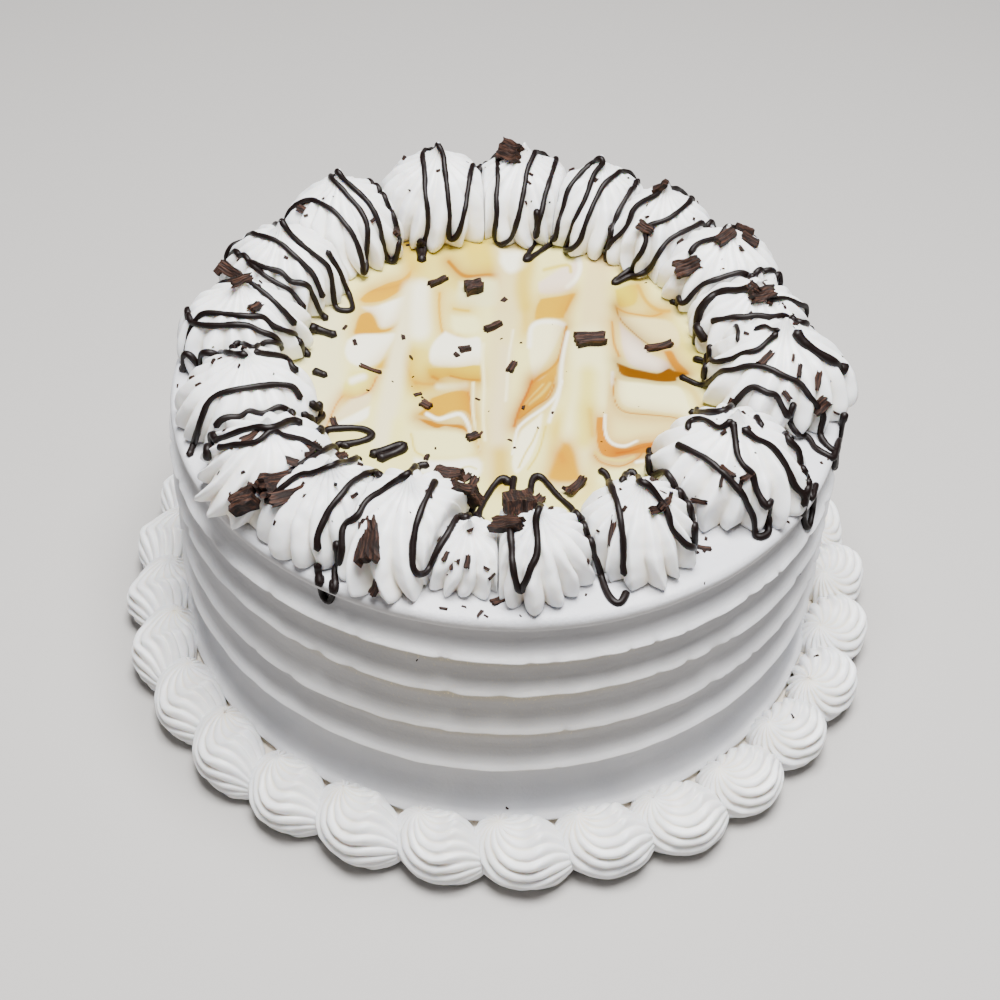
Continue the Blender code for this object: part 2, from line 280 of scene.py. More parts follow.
rosette_cream = piped_cream("rosette_cream", groove_shade_strength=0.75)
shell_cream = piped_cream("shell_cream", groove_shade_strength=0.85)
print("creams:", rosette_cream.name, shell_cream.name)

# %% [markdown]
# ## The scraped side
#
# The cook holds a notched scraper against the turning cake. Each notch leaves a band that flares out
# to a crisp lip, and the cream tears a little where the lip is thinnest. It could be turned from a
# curve, but a ring extruded upwards lets every level be placed one by one. The tears, the wander of the
# lips and the scraper's drag are then moved into the points, so that the outline shows them too.

# %% Profile of the side
# Height and radius in millimetres, here and below. The lips go from the top one down.
TOP_LEVEL = 97.7
CAKE_TOP = TOP_LEVEL * MM
LIPS = [(82.5, 105.9), (68.4, 106.0), (52.0, 106.0), (36.3, 106.5), (12.0, 107.2)]
RECESS = 101.6
RIM = [(93.5, 103.7), (95.3, 104.3), (96.6, 103.9), (97.4, 102.8), (97.7, 101.0), (97.6, 97.0)]
FOOT = [(0.0, 111.5), (4.5, 111.5), (7.5, 109.5), (9.2, 106.0), (9.8, 104.0)]
TOP_BEND_RADIUS = 88.0
WELL_RADIUS = 79.9
WELL_FLOOR = 95.9
# The hollow's end under a lip, then the lip's own underside, measured from the tip of the lip
HOLLOW_BELOW = 1.5
HOLLOW_OUT = 0.3
LIP_UNDERSIDE = [(-0.9, -1.4), (-0.5, -0.3), (0.0, 0.0)]
BAND_STOPS_BELOW = 1.6
# A band from just above its lip up to the lip above: share of its height, share of its flare
BAND = [(0.02, 0.97), (0.07, 0.80), (0.16, 0.60), (0.30, 0.38), (0.46, 0.20), (0.62, 0.07),
        (0.78, 0.0), (0.90, 0.0)]
SIDE_STEPS = 900


def side_levels():
    """Height and radius of each ring in millimetres, from the foot to the well's floor."""
    levels = list(FOOT)
    rim_start = RIM[0][0]
    tops = [rim_start] + [lip for lip, _ in LIPS[:-1]]
    for (lip, reach), top in zip(reversed(LIPS), reversed(tops)):
        levels.append((lip - HOLLOW_BELOW, RECESS + HOLLOW_OUT))
        levels += [(lip + up, reach + out) for up, out in LIP_UNDERSIDE]
        height = top - BAND_STOPS_BELOW - lip if top < rim_start else top - lip
        levels += [(lip + height * up, RECESS + (reach - RECESS) * out) for up, out in BAND]
    top_levels = [(TOP_LEVEL, TOP_BEND_RADIUS), (TOP_LEVEL, WELL_RADIUS), (WELL_FLOOR, WELL_RADIUS)]
    return levels + RIM + top_levels


levels = side_levels()
side = start_ring("iced_side", SIDE_STEPS, levels[0][1] * MM)
for (low, inner), (high, outer) in zip(levels, levels[1:]):
    extrude_ring((high - low) * MM, outer / inner)
close_piece()
print("side:", len(levels), "rings,", len(side.data.polygons), "faces")

# %% Helpers for waves and tears


def ripple(angles, seed, lowest, highest, fade=0.5):
    """A smooth random wave that closes on itself round the cake, between about -1 and 1."""
    draw = np.random.default_rng(seed)
    total = np.zeros_like(angles)
    for count in range(lowest, highest + 1):
        share = (lowest / count) ** fade
        total += share * np.sin(count * angles + draw.uniform(0, 2 * math.pi))
    return total / math.sqrt(highest - lowest + 1)


def tears(angles, seed, count, deepest):
    """Short nicks of random width and depth, in millimetres."""
    draw = np.random.default_rng(seed)
    total = np.zeros_like(angles)
    for _ in range(count):
        middle = draw.uniform(-math.pi, math.pi)
        width = draw.uniform(0.004, 0.022)
        away = np.abs((angles - middle + math.pi) % (2 * math.pi) - math.pi)
        total = np.maximum(total, draw.uniform(0.25, 1.0) * deepest * np.exp(-(away / width) ** 2))
    return total


some_angles = np.linspace(-math.pi, math.pi, 360)
print("deepest of ten tears:", round(float(tears(some_angles, 1, 10, 1.0).max()), 2), "mm")

# %% Wandering lips, tears and the scraper's drag
# In millimetres, from the top lip down: how far it wanders, and its number of tears and the deepest
LIP_WANDER = [0.9, 0.7, 0.7, 0.5, 0.3]
LIP_TEARS = [(34, 0.9), (44, 1.1), (34, 0.9), (12, 0.5), (4, 0.3)]
LIP_PULL = 5.0
LIP_EDGE = 1.1
FINE_WANDER = 0.16
SIDE_INSIDE = 100 * MM
SIDE_TOP = 96

places = points_of(side)
angles = np.arctan2(places[:, 1], places[:, 0])
radius = np.hypot(places[:, 0], places[:, 1])
heights = places[:, 2] / MM
rise, push = np.zeros_like(heights), np.zeros_like(heights)
on_side = (radius > SIDE_INSIDE) & (heights < SIDE_TOP)
for number, (lip, reach) in enumerate(LIPS):
    near = np.exp(-((heights - lip) / LIP_PULL) ** 2)
    crisp = np.exp(-((heights - lip) / LIP_EDGE) ** 2)
    rise += near * LIP_WANDER[number] * ripple(angles, number, 1, 7)
    rise += crisp * FINE_WANDER * ripple(angles, 20 + number, 20, 90, 0.2)
    count, deepest = LIP_TEARS[number]
    push -= crisp * tears(angles, 40 + number, count, deepest)
    push += crisp * FINE_WANDER * ripple(angles, 60 + number, 9, 50, 0.3)
push += 0.35 * ripple(angles, 80, 2, 5) + 0.05 * ripple(angles + heights * 0.02, 81, 12, 60, 0.2)
grown = 1 + push * MM / np.maximum(radius, 1 * MM)
places[:, 0] = np.where(on_side, places[:, 0] * grown, places[:, 0])
places[:, 1] = np.where(on_side, places[:, 1] * grown, places[:, 1])
foot_hold = np.clip((heights - 6) / 6, 0, 1)  # the foot stays level
places[:, 2] += np.where(on_side, rise * foot_hold, 0) * MM
set_points(side, places)
print("side: torn lips on", int(on_side.sum()), "points")

# %% [markdown]
# ### The finish of the side
#
# The side's cream is duller than the piped cream, dragged smooth in long level strokes, and its colour
# is painted darker too, a painted shade for the dim light on the upright side. Soft light leaves the
# hollow under a lip only a little darker than the rest, so values stored on the points paint shade
# into the hollows and the strip under the rim, and paint a highlight on the thin edge of each lip. A
# gold pearl dust lies on the front of the upper bands: a mask of tiny golden specks over a faint warm
# tint, strongest in the hollows. The same kind of value turns the cream beige at the foot, a painted
# warm reflection in the shade there.

# %% Painted shade, painted edge highlight, painted foot reflection and dust as stored values
# How far below the edge of a lip each value is strongest, and how far it spreads, in millimetres
RECESS_BELOW, RECESS_SPREAD = 3.2, 2.0
# Where the painted highlight along each lip is strongest, and how far it spreads
EDGE_HIGHLIGHT_BELOW, EDGE_HIGHLIGHT_SPREAD = 1.2, 1.7
SHADE_FADE = 5.0
RIM_SHADE, RIM_SHADE_FADE = 0.75, 8
FOOT_TOP = 12.5
FOOT_FADE = 2.0
DUST_CENTRE = (-8 * MM, -105 * MM, 60 * MM)
DUST_REACH = 72 * MM
DUST_HEIGHT_STRETCH = 2.1


def store_value(piece, name, values):
    """Keeps one number for each point of a mesh, for its finish to read."""
    layer = piece.data.attributes.new(name, "FLOAT", "POINT")
    layer.data.foreach_set("value", np.ascontiguousarray(values, dtype=np.float32))


recess, shade, edge_highlight = (np.zeros_like(heights) for _ in range(3))
for lip, reach in LIPS:
    hollow = np.exp(-((heights - lip + RECESS_BELOW) / RECESS_SPREAD) ** 2)
    recess = np.maximum(recess, hollow * on_side)
    below = lip - heights
    # Painted shade, fading downwards from each lip
    shade = np.maximum(shade, (below > 0) * np.exp(-below / SHADE_FADE) * on_side)
    # A painted highlight along the edge of each lip
    edge_highlight = np.maximum(edge_highlight, np.exp(-((below + EDGE_HIGHLIGHT_BELOW) / EDGE_HIGHLIGHT_SPREAD) ** 2) * on_side)
# Painted shade in the strip under the rim
under_rim = RIM[1][0] - heights
rim_shade = RIM_SHADE * (under_rim > 0) * np.exp(-np.maximum(under_rim, 0) / RIM_SHADE_FADE)
shade = np.maximum(shade, rim_shade * on_side)
# The beige at the foot is a painted warm reflection in the shade under the lowest lip
foot_reflection_share = np.clip((FOOT_TOP - heights) / FOOT_FADE, 0, 1) * (heights < LIPS[-1][0])
to_dust = (places - np.array(DUST_CENTRE)) * np.array([1, 1, DUST_HEIGHT_STRETCH])
dust = np.clip(1.25 - np.linalg.norm(to_dust, axis=1) / DUST_REACH, 0, 1)
side_values = {GROOVE: recess, "foot": foot_reflection_share, "shade": shade, "edge_highlight": edge_highlight, "dust": dust}
for name, values in side_values.items():
    store_value(side, name, values)
print("side: dusted points", int((dust > 0.1).sum()))

# %% Finish of the side
# The side's whites are painted darker than the piped cream: painted shade for the dim light on the upright
# side
SIDE_SHADED_WHITE = (0.62, 0.62, 0.645, 1)
SIDE_SHADED_GREY = (0.55, 0.555, 0.59, 1)
# Painted shade colour for the hollow under each lip and the strip under the rim
RECESS_SHADE_GREY = (0.37, 0.35, 0.335, 1)
# Painted highlight colour for the edge of each lip
EDGE_HIGHLIGHT_WHITE = (0.90, 0.90, 0.92, 1)
PEARL_TINT = (0.56, 0.46, 0.25, 1)
PEARL_SPECK = (1.0, 0.86, 0.48, 1)
# Painted warm reflection colour for the shaded foot
FOOT_REFLECTION_BEIGE = (0.86, 0.79, 0.68, 1)
MOST_SHADE = 0.8
MOST_EDGE_HIGHLIGHT = 0.85
DUST_OUTSIDE_HOLLOWS = 0.15
DRAG_STRETCH = (6, 6, 700)

side_cream, tree, shader = new_finish("side_cream", roughness=0.5)
patches = remap(tree, noise(tree, scale=30, detail=3), 0.4, 0.62)
colour = mix_colour(tree, patches, SIDE_SHADED_WHITE, SIDE_SHADED_GREY)
# Painted shade under the lips and under the rim
colour = mix_colour(tree, remap(tree, stored(tree, "shade"), 0, 1, 0, MOST_SHADE), colour, RECESS_SHADE_GREY)
# A painted highlight along the edge of each lip
colour = mix_colour(tree, remap(tree, stored(tree, "edge_highlight"), 0, 1, 0, MOST_EDGE_HIGHLIGHT), colour, EDGE_HIGHLIGHT_WHITE)
in_hollow = reckon(tree, "MULTIPLY_ADD", stored(tree, GROOVE), 1.0, DUST_OUTSIDE_HOLLOWS)
tint = reckon(tree, "MULTIPLY", in_hollow, stored(tree, "dust"))
colour = mix_colour(tree, tint, colour, PEARL_TINT)
speck = remap(tree, noise(tree, scale=1500, detail=1), 0.62, 0.70)
colour = mix_colour(tree, reckon(tree, "MULTIPLY", speck, tint), colour, PEARL_SPECK)
# A painted warm reflection at the foot, read from the stored foot value
colour = mix_colour(tree, stored(tree, "foot"), colour, FOOT_REFLECTION_BEIGE)
tree.links.new(colour, shader.inputs["Base Color"])
soften(shader, weight=0.1)
drag = noise(tree, scale=1, detail=3, stretch=DRAG_STRETCH)
relief = reckon(tree, "ADD", drag, noise(tree, scale=900))
add_bump(tree, shader, relief, strength=0.5, distance=0.30 * MM)
finish_piece(side, side_cream, "side_cream", "cake_body")
print("side: finished with", side_cream.name)

# %% [markdown]
# ## Pleated cream
#
# A star nozzle leaves the same pleats in a rosette and in a shell, so both start from one plain form:
# a turned dome, made by extruding a ring upwards, which a second step then pleats. Each point is moved
# in by how deep in a pleat it lies. A finger of cream is round with a narrow groove, while a cusp is
# a thin crest between hollow faces. The pleats also wander and twist, and no two are the same width.
# A star drawn flat and extruded is quicker, but all its ridges come out alike.

# %% Turned forms
PLEATS = 16


def smooth_route(points, steps):
    """A smooth curve through given points, with some steps between each two."""
    points = np.array(points, dtype=float)
    ends = [2 * points[0] - points[1], *points, 2 * points[-1] - points[-2]]
    route = []
    for before, start, end, after in zip(ends, ends[1:], ends[2:], ends[3:]):
        for t in np.arange(steps) / steps:
            route.append(0.5 * (2 * start + (end - before) * t
                                + (2 * before - 5 * start + 4 * end - after) * t ** 2
                                + (3 * start - before - 3 * end + after) * t ** 3))
    return np.array([*route, points[-1]])


def turn_form(name, levels, points_per_pleat):
    """A turned form of height 1 and radius 1 from shares of the height and of the radius."""
    levels = smooth_route(levels, 3)
    piece = start_ring(name, PLEATS * points_per_pleat, levels[0][1])
    for (low, wide), (high, narrow) in zip(levels, levels[1:]):
        extrude_ring(high - low, narrow / wide)
    close_piece()
    return piece


def copy_piece(piece, name):
    """A copy with a mesh of its own, in edit order the same as the first."""
    copy = piece.copy()
    copy.data = piece.data.copy()
    copy.name = name
    bpy.context.scene.collection.objects.link(copy)
    return copy


print("a route of three points has", len(smooth_route([(0, 0), (1, 1), (2, 0)], 3)), "steps")

# %% Pleats
FINGER_POWER = 2.6
CREST_POWER = 1.4
UNEVEN_DEPTH = 0.25
UNEVEN_SIZE = 0.05
UNEVEN_PLACE = 0.07


def pleat_values(angles, draw, spread):
    """One random value per pleat, blended smoothly round the form."""
    values = draw.uniform(-spread, spread, PLEATS)
    middles = (np.arange(PLEATS) + 0.5) / PLEATS * 2 * math.pi
    return np.interp(angles % (2 * math.pi), middles, values, period=2 * math.pi)


def pleat(piece, seed, depth, cusp, skew, twist):
    """Pleats a turned form. Returns its points, with height still from 0 to 1."""
    draw = np.random.default_rng(seed)
    places = points_of(piece)
    share = places[:, 2]
    angles = np.arctan2(places[:, 1], places[:, 0]) % (2 * math.pi)
    radius = np.hypot(places[:, 0], places[:, 1])
    phase = (angles / (2 * math.pi) * PLEATS) % 1.0
    phase = np.where(phase > 0.9999, 0.0, phase)
    phase = phase ** math.exp(skew)
    away = np.abs(2 * phase - 1)
    finger = 1 - away ** FINGER_POWER
    crest = (1 - away) ** CREST_POWER
    shape = (1 - cusp) * finger + cusp * crest
    bite = depth * (0.62 + 0.5 * (1 - share) ** 1.5)
    bite = bite * (1 + pleat_values(angles, draw, UNEVEN_DEPTH))
    foot = (1 - share) ** 2
    size = 1 + pleat_values(angles, draw, UNEVEN_SIZE) * (0.4 + foot)
    size += 0.035 * ripple(angles, seed + 500, 2, 4) * (0.5 + foot)
    radius = radius * size * (1 - bite * (1 - shape))
    wander = pleat_values(angles, draw, UNEVEN_PLACE)
    wander = wander + 0.05 * ripple(angles + 2.2 * share, seed + 900, 2, 6)
    angles = angles + wander * (0.4 + 0.6 * foot) + twist * (1 - share) ** 1.5
    # How deep in a pleat each point lies; the creams paint shade from it
    store_value(piece, GROOVE, (1 - shape) * (0.45 + 0.55 * foot))
    return np.stack([radius * np.cos(angles), radius * np.sin(angles), share], axis=1)


print("pleats left by the nozzle:", PLEATS)

# %% [markdown]
# ## The rosettes
#
# Each rosette is piped straight down and pulled away, so it swells at its shoulder and ends in a thin
# hollow-sided peak. The turned dome is copied for each row below, pleated with its own seed, sized,
# leaned toward its tip, and pressed softly against its two neighbours. Sculpting each by hand would
# do as well, but a row of numbers is quicker to set right against the photo.

# %% Shape and place of each rosette
# Levels of a rosette: share of the height, share of the foot radius
ROSETTE_LEVELS = [(0.0, 0.90), (0.04, 0.975), (0.10, 1.0), (0.18, 1.0), (0.27, 0.975), (0.36, 0.93),
                  (0.44, 0.87), (0.52, 0.785), (0.59, 0.69), (0.655, 0.58), (0.71, 0.46),
                  (0.76, 0.335), (0.805, 0.23), (0.85, 0.15), (0.90, 0.09), (0.95, 0.05), (1.0, 0.015)]
# Azimuth, distance, foot radius and height in mm, pleat depth, cusp share, skew, twist in degrees,
# and the shift of the tip in mm along X and Y
ROSETTES = [
    (-141.5, 86.5, 21.5, 27, 0.20, 0.75, 0.45, -38, 1.5, -1.5),
    (-125.0, 85.0, 19.5, 26, 0.20, 0.10, -0.25, 16, 1.5, -1.5),
    (-108.4, 82.0, 23.0, 27, 0.22, 0.45, 0.30, 22, 0.5, 1.5),
    (-96.0, 85.0, 14.0, 19, 0.22, 0.35, 0.10, -15, 0.4, -1.0),
    (-83.2, 84.5, 17.5, 25, 0.24, 0.15, 0.20, 14, 0.2, -2.0),
    (-62.5, 83.0, 18.5, 26, 0.22, 0.75, -0.30, 10, 0.0, 0.0),
    (-35.4, 80.5, 24.0, 29, 0.20, 0.85, -0.35, -14, 0.0, 0.0),
    (-2.7, 83.0, 24.0, 29, 0.20, 0.60, -0.30, -18, 0.5, 0.5),
    (17.3, 80.5, 21.0, 25, 0.20, 0.50, 0.25, 15, 1.0, -3.0),
    (35.7, 85.5, 20.5, 26, 0.20, 0.40, -0.2, -12, 1.0, 0.5),
    (54.2, 86.5, 20.5, 28, 0.22, 0.50, 0.3, 12, 0.0, 0.5),
    (70.5, 87.5, 20.0, 29.5, 0.22, 0.30, -0.2, -15, 0.0, 0.0),
    (88.0, 88.0, 20.5, 30, 0.22, 0.45, 0.2, 14, 0.0, 0.0),
    (107.0, 88.5, 22.0, 31, 0.22, 0.35, 0.3, -12, 0.0, 0.0),
    (130.3, 88.0, 21.5, 29.5, 0.22, 0.50, -0.2, 15, -1.0, 1.0),
    (151.7, 84.5, 21.5, 28, 0.22, 0.30, 0.2, -15, 0.5, -0.5),
    (173.8, 83.5, 21.5, 27, 0.22, 0.45, 0.3, 12, 0.0, 0.0),
    (-162.5, 81.5, 21.5, 27, 0.20, 0.40, -0.2, -16, 1.0, 0.0),
]
first_rosette = turn_form("first_rosette", ROSETTE_LEVELS, points_per_pleat=12)
print("plain rosette:", len(first_rosette.data.vertices), "points")

# %% Press neighbours together


def contact_planes(index, rows):
    """The upright planes where a piece meets its two neighbours in the ring."""
    planes = []
    for step in (-1, 1):
        other = rows[(index + step) % len(rows)]
        here, there = polar(rows[index][0], rows[index][1] * MM), polar(other[0], other[1] * MM)
        toward = (there - here).normalized()
        share = rows[index][2] / (rows[index][2] + other[2])
        planes.append((np.array(here.lerp(there, share)), np.array(toward)))
    return planes


def press_against(piece, planes, give):
    """Flattens what would pass a neighbour's plane, softly, as touching cream does."""
    places = points_of(piece)
    for origin, toward in planes:
        beyond = (places - origin) @ toward + give
        pressed = give * (1 - np.exp(-np.maximum(beyond, 0) / give))
        places -= np.outer(np.where(beyond > 0, beyond - pressed, 0), toward)
    set_points(piece, places)


first_planes = contact_planes(0, ROSETTES)
print("the first rosette meets its neighbours at", [origin.round(3).tolist() for origin, _ in first_planes])

# %% Pipe the rosettes
GIVE = 1.6 * MM


def make_rosette(index):
    """Pleats a copy of the dome, puts it in its place and presses it to its neighbours."""
    azimuth, distance, foot, height, depth, cusp, skew, twist, lean_x, lean_y = ROSETTES[index]
    piece = copy_piece(first_rosette, f"piped_rosette_{index + 1:02d}")
    places = pleat(piece, index, depth, cusp, skew, math.radians(twist))
    lean = np.array([lean_x, lean_y, 0]) * MM
    share = places[:, 2:3]
    places = places * np.array([foot, foot, height]) * MM + lean * share ** 1.5
    set_points(piece, places + np.array(polar(azimuth, distance * MM, CAKE_TOP)))
    ruffle(piece, "bulges", size=13 * MM, strength=1.6 * MM)
    ruffle(piece, "lumps", size=4 * MM, strength=0.5 * MM)
    press_against(piece, contact_planes(index, ROSETTES), GIVE)
    finish_piece(piece, rosette_cream, "rosette_cream", f"rosette_{index + 1:02d}")
    return piece


rosettes = [make_rosette(index) for index in range(len(ROSETTES))]
bpy.data.objects.remove(first_rosette)
print("rosettes:", len(rosettes), "with", len(rosettes[0].data.polygons), "faces in the first")

# %% [markdown]
# ## The shell border
#
# A shell starts with the nozzle tipped over one spot, so that the cream swells into a head, and ends
# with a pull along the ring, which draws its pleats together in a tail. So the pleats all leave one
# point at the inner top of the head, lie over its outside like stacked crescents and run level into
# the tail, where the next head covers them. It is a turned form too, twisted as it is pleated, and
# then bent over along that path. One shell is bent and cut flat, then copied round the foot, each
# copy with its own size, turn and lumps.

# %% One shell
SHELL_WIDTH = 0.90
SHELL_TWIST = math.radians(-80)
# Stations along a shell: place along the ring and height of the centre in mm, radius in mm, how far
# the section has tipped forward in degrees, and its shift outwards in mm
SHELL_STATIONS = [
    (-8.0, 18.8, 0.5, 8, -5.0), (-8.6, 17.8, 3.6, 12, -4.4), (-8.8, 16.0, 6.6, 20, -3.6),
    (-8.0, 13.8, 9.4, 32, -2.6), (-6.0, 11.8, 11.4, 46, -1.6), (-3.0, 10.2, 12.4, 60, -0.8),
    (0.6, 9.2, 12.6, 73, -0.2), (4.2, 8.6, 11.8, 83, 0.0), (7.4, 8.2, 10.4, 89, 0.0),
    (10.0, 7.8, 8.6, 92, 0.0), (12.2, 7.4, 6.4, 94, 0.0), (14.0, 7.0, 4.0, 95, 0.0),
]


def cut_at_floor(piece):
    """Cuts away what is under the floor and closes the cut."""
    bpy.ops.object.select_all(action="DESELECT")
    piece.select_set(True)
    bpy.context.view_layer.objects.active = piece
    bpy.ops.object.mode_set(mode="EDIT")
    bpy.ops.mesh.select_all(action="SELECT")
    bpy.ops.mesh.bisect(plane_co=(0, 0, 0), plane_no=(0, 0, 1), use_fill=True, clear_inner=True)
    bpy.ops.object.mode_set(mode="OBJECT")


def bend_shell(piece, places):
    """Bends a straight pleated form over the stations, its tail along +Y."""
    stations = np.array(SHELL_STATIONS, dtype=float)
    steps = np.linspace(0, 1, len(stations))
    along, up, tip, shift = (np.interp(places[:, 2], steps, stations[:, i]) for i in (0, 1, 3, 4))
    tip = np.radians(tip)
    across, over = places[:, 0] * SHELL_WIDTH + shift, places[:, 1]
    bent = np.stack([across, along + over * np.cos(tip), up + over * np.sin(tip)], axis=1)
    set_points(piece, bent * MM)


most = max(station[2] for station in SHELL_STATIONS)
shell_levels = [(number / (len(SHELL_STATIONS) - 1), station[2] / most)
                for number, station in enumerate(SHELL_STATIONS)]
first_shell = turn_form("first_shell", shell_levels, points_per_pleat=8)
straight = pleat(first_shell, seed=77, depth=0.21, cusp=0.10, skew=0.30, twist=SHELL_TWIST)
bend_shell(first_shell, straight * np.array([most, most, 1]))
cut_at_floor(first_shell)
print("shell:", len(first_shell.data.polygons), "faces")

# %% Copy the shell round the foot
SHELL_COUNT = 29
SHELL_RING_RADIUS = 117.2
SHELL_START_AZIMUTH = -84.7


def place_shell(number):
    """A copy of the shell in its place, a little larger or smaller and turned."""
    draw = random.Random(number)
    piece = copy_piece(first_shell, f"piped_shell_{number + 1:02d}")
    azimuth = SHELL_START_AZIMUTH + number * 360 / SHELL_COUNT
    size = Matrix.Diagonal((draw.uniform(0.95, 1.03), draw.uniform(0.97, 1.05),
                            draw.uniform(0.93, 1.02), 1))
    spin = Matrix.Rotation(math.radians(draw.uniform(-7, 7)), 4, "Z")
    turn = Matrix.Rotation(math.radians(azimuth), 4, "Z")
    place = Matrix.Translation(polar(azimuth, (SHELL_RING_RADIUS + draw.uniform(-0.6, 0.4)) * MM))
    piece.data.transform(place @ turn @ spin @ size)
    ruffle(piece, "swell", size=9 * MM, strength=1.2 * MM)
    ruffle(piece, "lumps", size=3 * MM, strength=0.3 * MM)
    places = points_of(piece)
    places[:, 2] = np.maximum(places[:, 2], 0)
    set_points(piece, places)
    finish_piece(piece, shell_cream, "shell_cream", f"shell_{number + 1:02d}")
    return piece


shells = [place_shell(number) for number in range(SHELL_COUNT)]
bpy.data.objects.remove(first_shell)
print("shells:", len(shells))

# %% [markdown]
# ## The marbled glaze
#
# White and caramel glaze are poured together and combed with a palette knife, from the back to the
# front. The drags leave pale bands, and between them the caramel is folded into lobes with a crisp
# lower edge. A mix of noises marbles too, but its lobes fall anywhere. So the glaze is a fine grid
# bent into a disc, and its marbling is painted on the points, one patch or ribbon at a time, where
# the photo shows it.

# %% The glaze disc
GLAZE_STEPS = 300
GLAZE_RADIUS = 79.6 * MM
GLAZE_TOP = 97.9 * MM
GLAZE_DEPTH = 1.7 * MM
EDGE_STARTS = 0.94
EDGE_DROP = 0.5

bpy.ops.object.select_all(action="DESELECT")
bpy.ops.mesh.primitive_grid_add(x_subdivisions=GLAZE_STEPS, y_subdivisions=GLAZE_STEPS, size=2)
glaze = bpy.context.object
glaze.name = "glaze"
square = points_of(glaze)
u, v = square[:, 0], square[:, 1]
flat_x, flat_y = u * np.sqrt(1 - v * v / 2), v * np.sqrt(1 - u * u / 2)
out = np.hypot(flat_x, flat_y)
waves = 0.22 * ripple(9 * flat_x + 4 * flat_y, 5, 1, 3)
waves += 0.16 * ripple(5 * flat_x - 8 * flat_y, 6, 1, 3)
tops = GLAZE_TOP + MM * (waves - EDGE_DROP * np.clip((out - EDGE_STARTS) / 0.06, 0, 1) ** 2)
set_points(glaze, np.stack([flat_x * GLAZE_RADIUS, flat_y * GLAZE_RADIUS, tops], axis=1))
bpy.ops.object.mode_set(mode="EDIT")
bpy.ops.mesh.select_all(action="SELECT")
bpy.ops.mesh.region_to_loop()
bpy.ops.mesh.extrude_edges_move(TRANSFORM_OT_translate={"value": (0, 0, -GLAZE_DEPTH)})
bpy.ops.mesh.edge_face_add()
bpy.ops.mesh.select_all(action="SELECT")
bpy.ops.mesh.normals_make_consistent(inside=False)
bpy.ops.object.mode_set(mode="OBJECT")
print("glaze:", len(glaze.data.polygons), "faces")

# %% See the points as the photo does
EYE = np.array(CAMERA_PLACE)
EYE_TURN = np.array(camera_turn.to_3x3())


def photo_place(places):
    """Where points show in the photo, in its pixels."""
    local = (places - EYE) @ EYE_TURN
    scale = FOCAL_PIXELS / -local[:, 2]
    return np.stack([PHOTO_CENTRE + scale * local[:, 0], PHOTO_CENTRE - scale * local[:, 1]], axis=1)


# The powers that turn a red, a green and a blue as seen into the shader's values, and how much of its
# light a strong colour loses and its green gains
COLOUR_POWERS = np.array([5.0, 4.85, 6.0])
BRIGHTEST = 0.95
STRONG_LOSS = 0.36
STRONG_GREEN = 0.22


def linear(colour):
    """A colour as seen, from 0 to 255, as the values that the shader needs to show it.

    A strong colour is darkened too, because bright light would wash it out."""
    values = (np.array(colour) / 255.0) ** COLOUR_POWERS
    strong = 1 - values.min() / values.max()
    greener = np.array([1, 1 + STRONG_GREEN * strong ** 2, 1])
    return values * (BRIGHTEST - STRONG_LOSS * strong ** 2) * greener


print("white as the shader needs it:", linear((255, 255, 255)).round(2))

# %% Brushes for the marbling


def distance_to(spots, route):
    """The distance of each spot to a route of straight pieces."""
    nearest = np.full(len(spots), 1e9)
    for start, end in zip(route, route[1:]):
        along = end - start
        share = np.clip((spots - start) @ along / max(along @ along, 1e-9), 0, 1)
        nearest = np.minimum(nearest, np.linalg.norm(spots - start - share[:, None] * along, axis=1))
    return nearest


def inside(spots, outline):
    """True for each spot that a closed outline goes round."""
    odd = np.zeros(len(spots), dtype=bool)
    for (x1, y1), (x2, y2) in zip(outline, outline[1:]):
        spans = (y1 > spots[:, 1]) != (y2 > spots[:, 1])
        cross = x1 + (spots[:, 1] - y1) / (y2 - y1 if y2 != y1 else 1) * (x2 - x1)
        odd ^= spans & (spots[:, 0] < cross)
    return odd


def pairs(numbers):
    """Numbers in a row as places, two by two."""
    return np.array(numbers, dtype=float).reshape(-1, 2)


CARAMEL_BELOW = 150
CARAMEL_SPREAD = 17
CARAMEL_BLEED = 0.55


def paint(colour, route, half, soft, strength, closed):
    """Paints the points within half a width of a route or, when it is closed, inside it.

    A strong colour also bleeds a little way out into the pale glaze beside it."""
    route = smooth_route(route, 3)
    reach = half + max(2 * soft, CARAMEL_SPREAD)
    near = ((spots > route.min(axis=0) - reach) & (spots < route.max(axis=0) + reach)).all(axis=1)
    close = spots[near]
    distance = distance_to(close, route)
    if closed:
        distance = np.where(inside(close, route), -distance, distance)
    cover = np.clip((half + soft - distance) / (2 * soft), 0, 1)
    cover = strength * cover * cover * (3 - 2 * cover)
    if min(colour) < CARAMEL_BELOW:
        away = np.clip(1 - np.maximum(distance - half, 0) / CARAMEL_SPREAD, 0, 1)
        cover = np.maximum(cover, CARAMEL_BLEED * strength * away ** 2)
    marble[near] += (linear(colour) - marble[near]) * cover[:, None]


def ribbon(colour, route, half, soft, strength=1.0):
    """Paints a ribbon of some half width along a route."""
    paint(colour, pairs(route), half, soft, strength, closed=False)


def patch(colour, outline, soft, strength=1.0):
    """Paints all that an outline goes round."""
    outline = pairs(outline)
    paint(colour, np.vstack([outline, outline[:1]]), 0, soft, strength, closed=True)


from_a_slope = distance_to(pairs((5, 0)), pairs((0, 0, 9, 9)))
print("a point 5 along the foot of a 45 degree slope is", from_a_slope.round(2)[0], "from it")

# %% Colours of the glaze
IVORY, WHITE, PINK = (246, 236, 207), (246, 243, 236), (239, 226, 211)
PALE_GOLD, GOLD = (246, 222, 145), (246, 206, 70)
AMBER, DARK_AMBER, BROWN_LINE = (222, 174, 30), (184, 140, 8), (195, 149, 40)

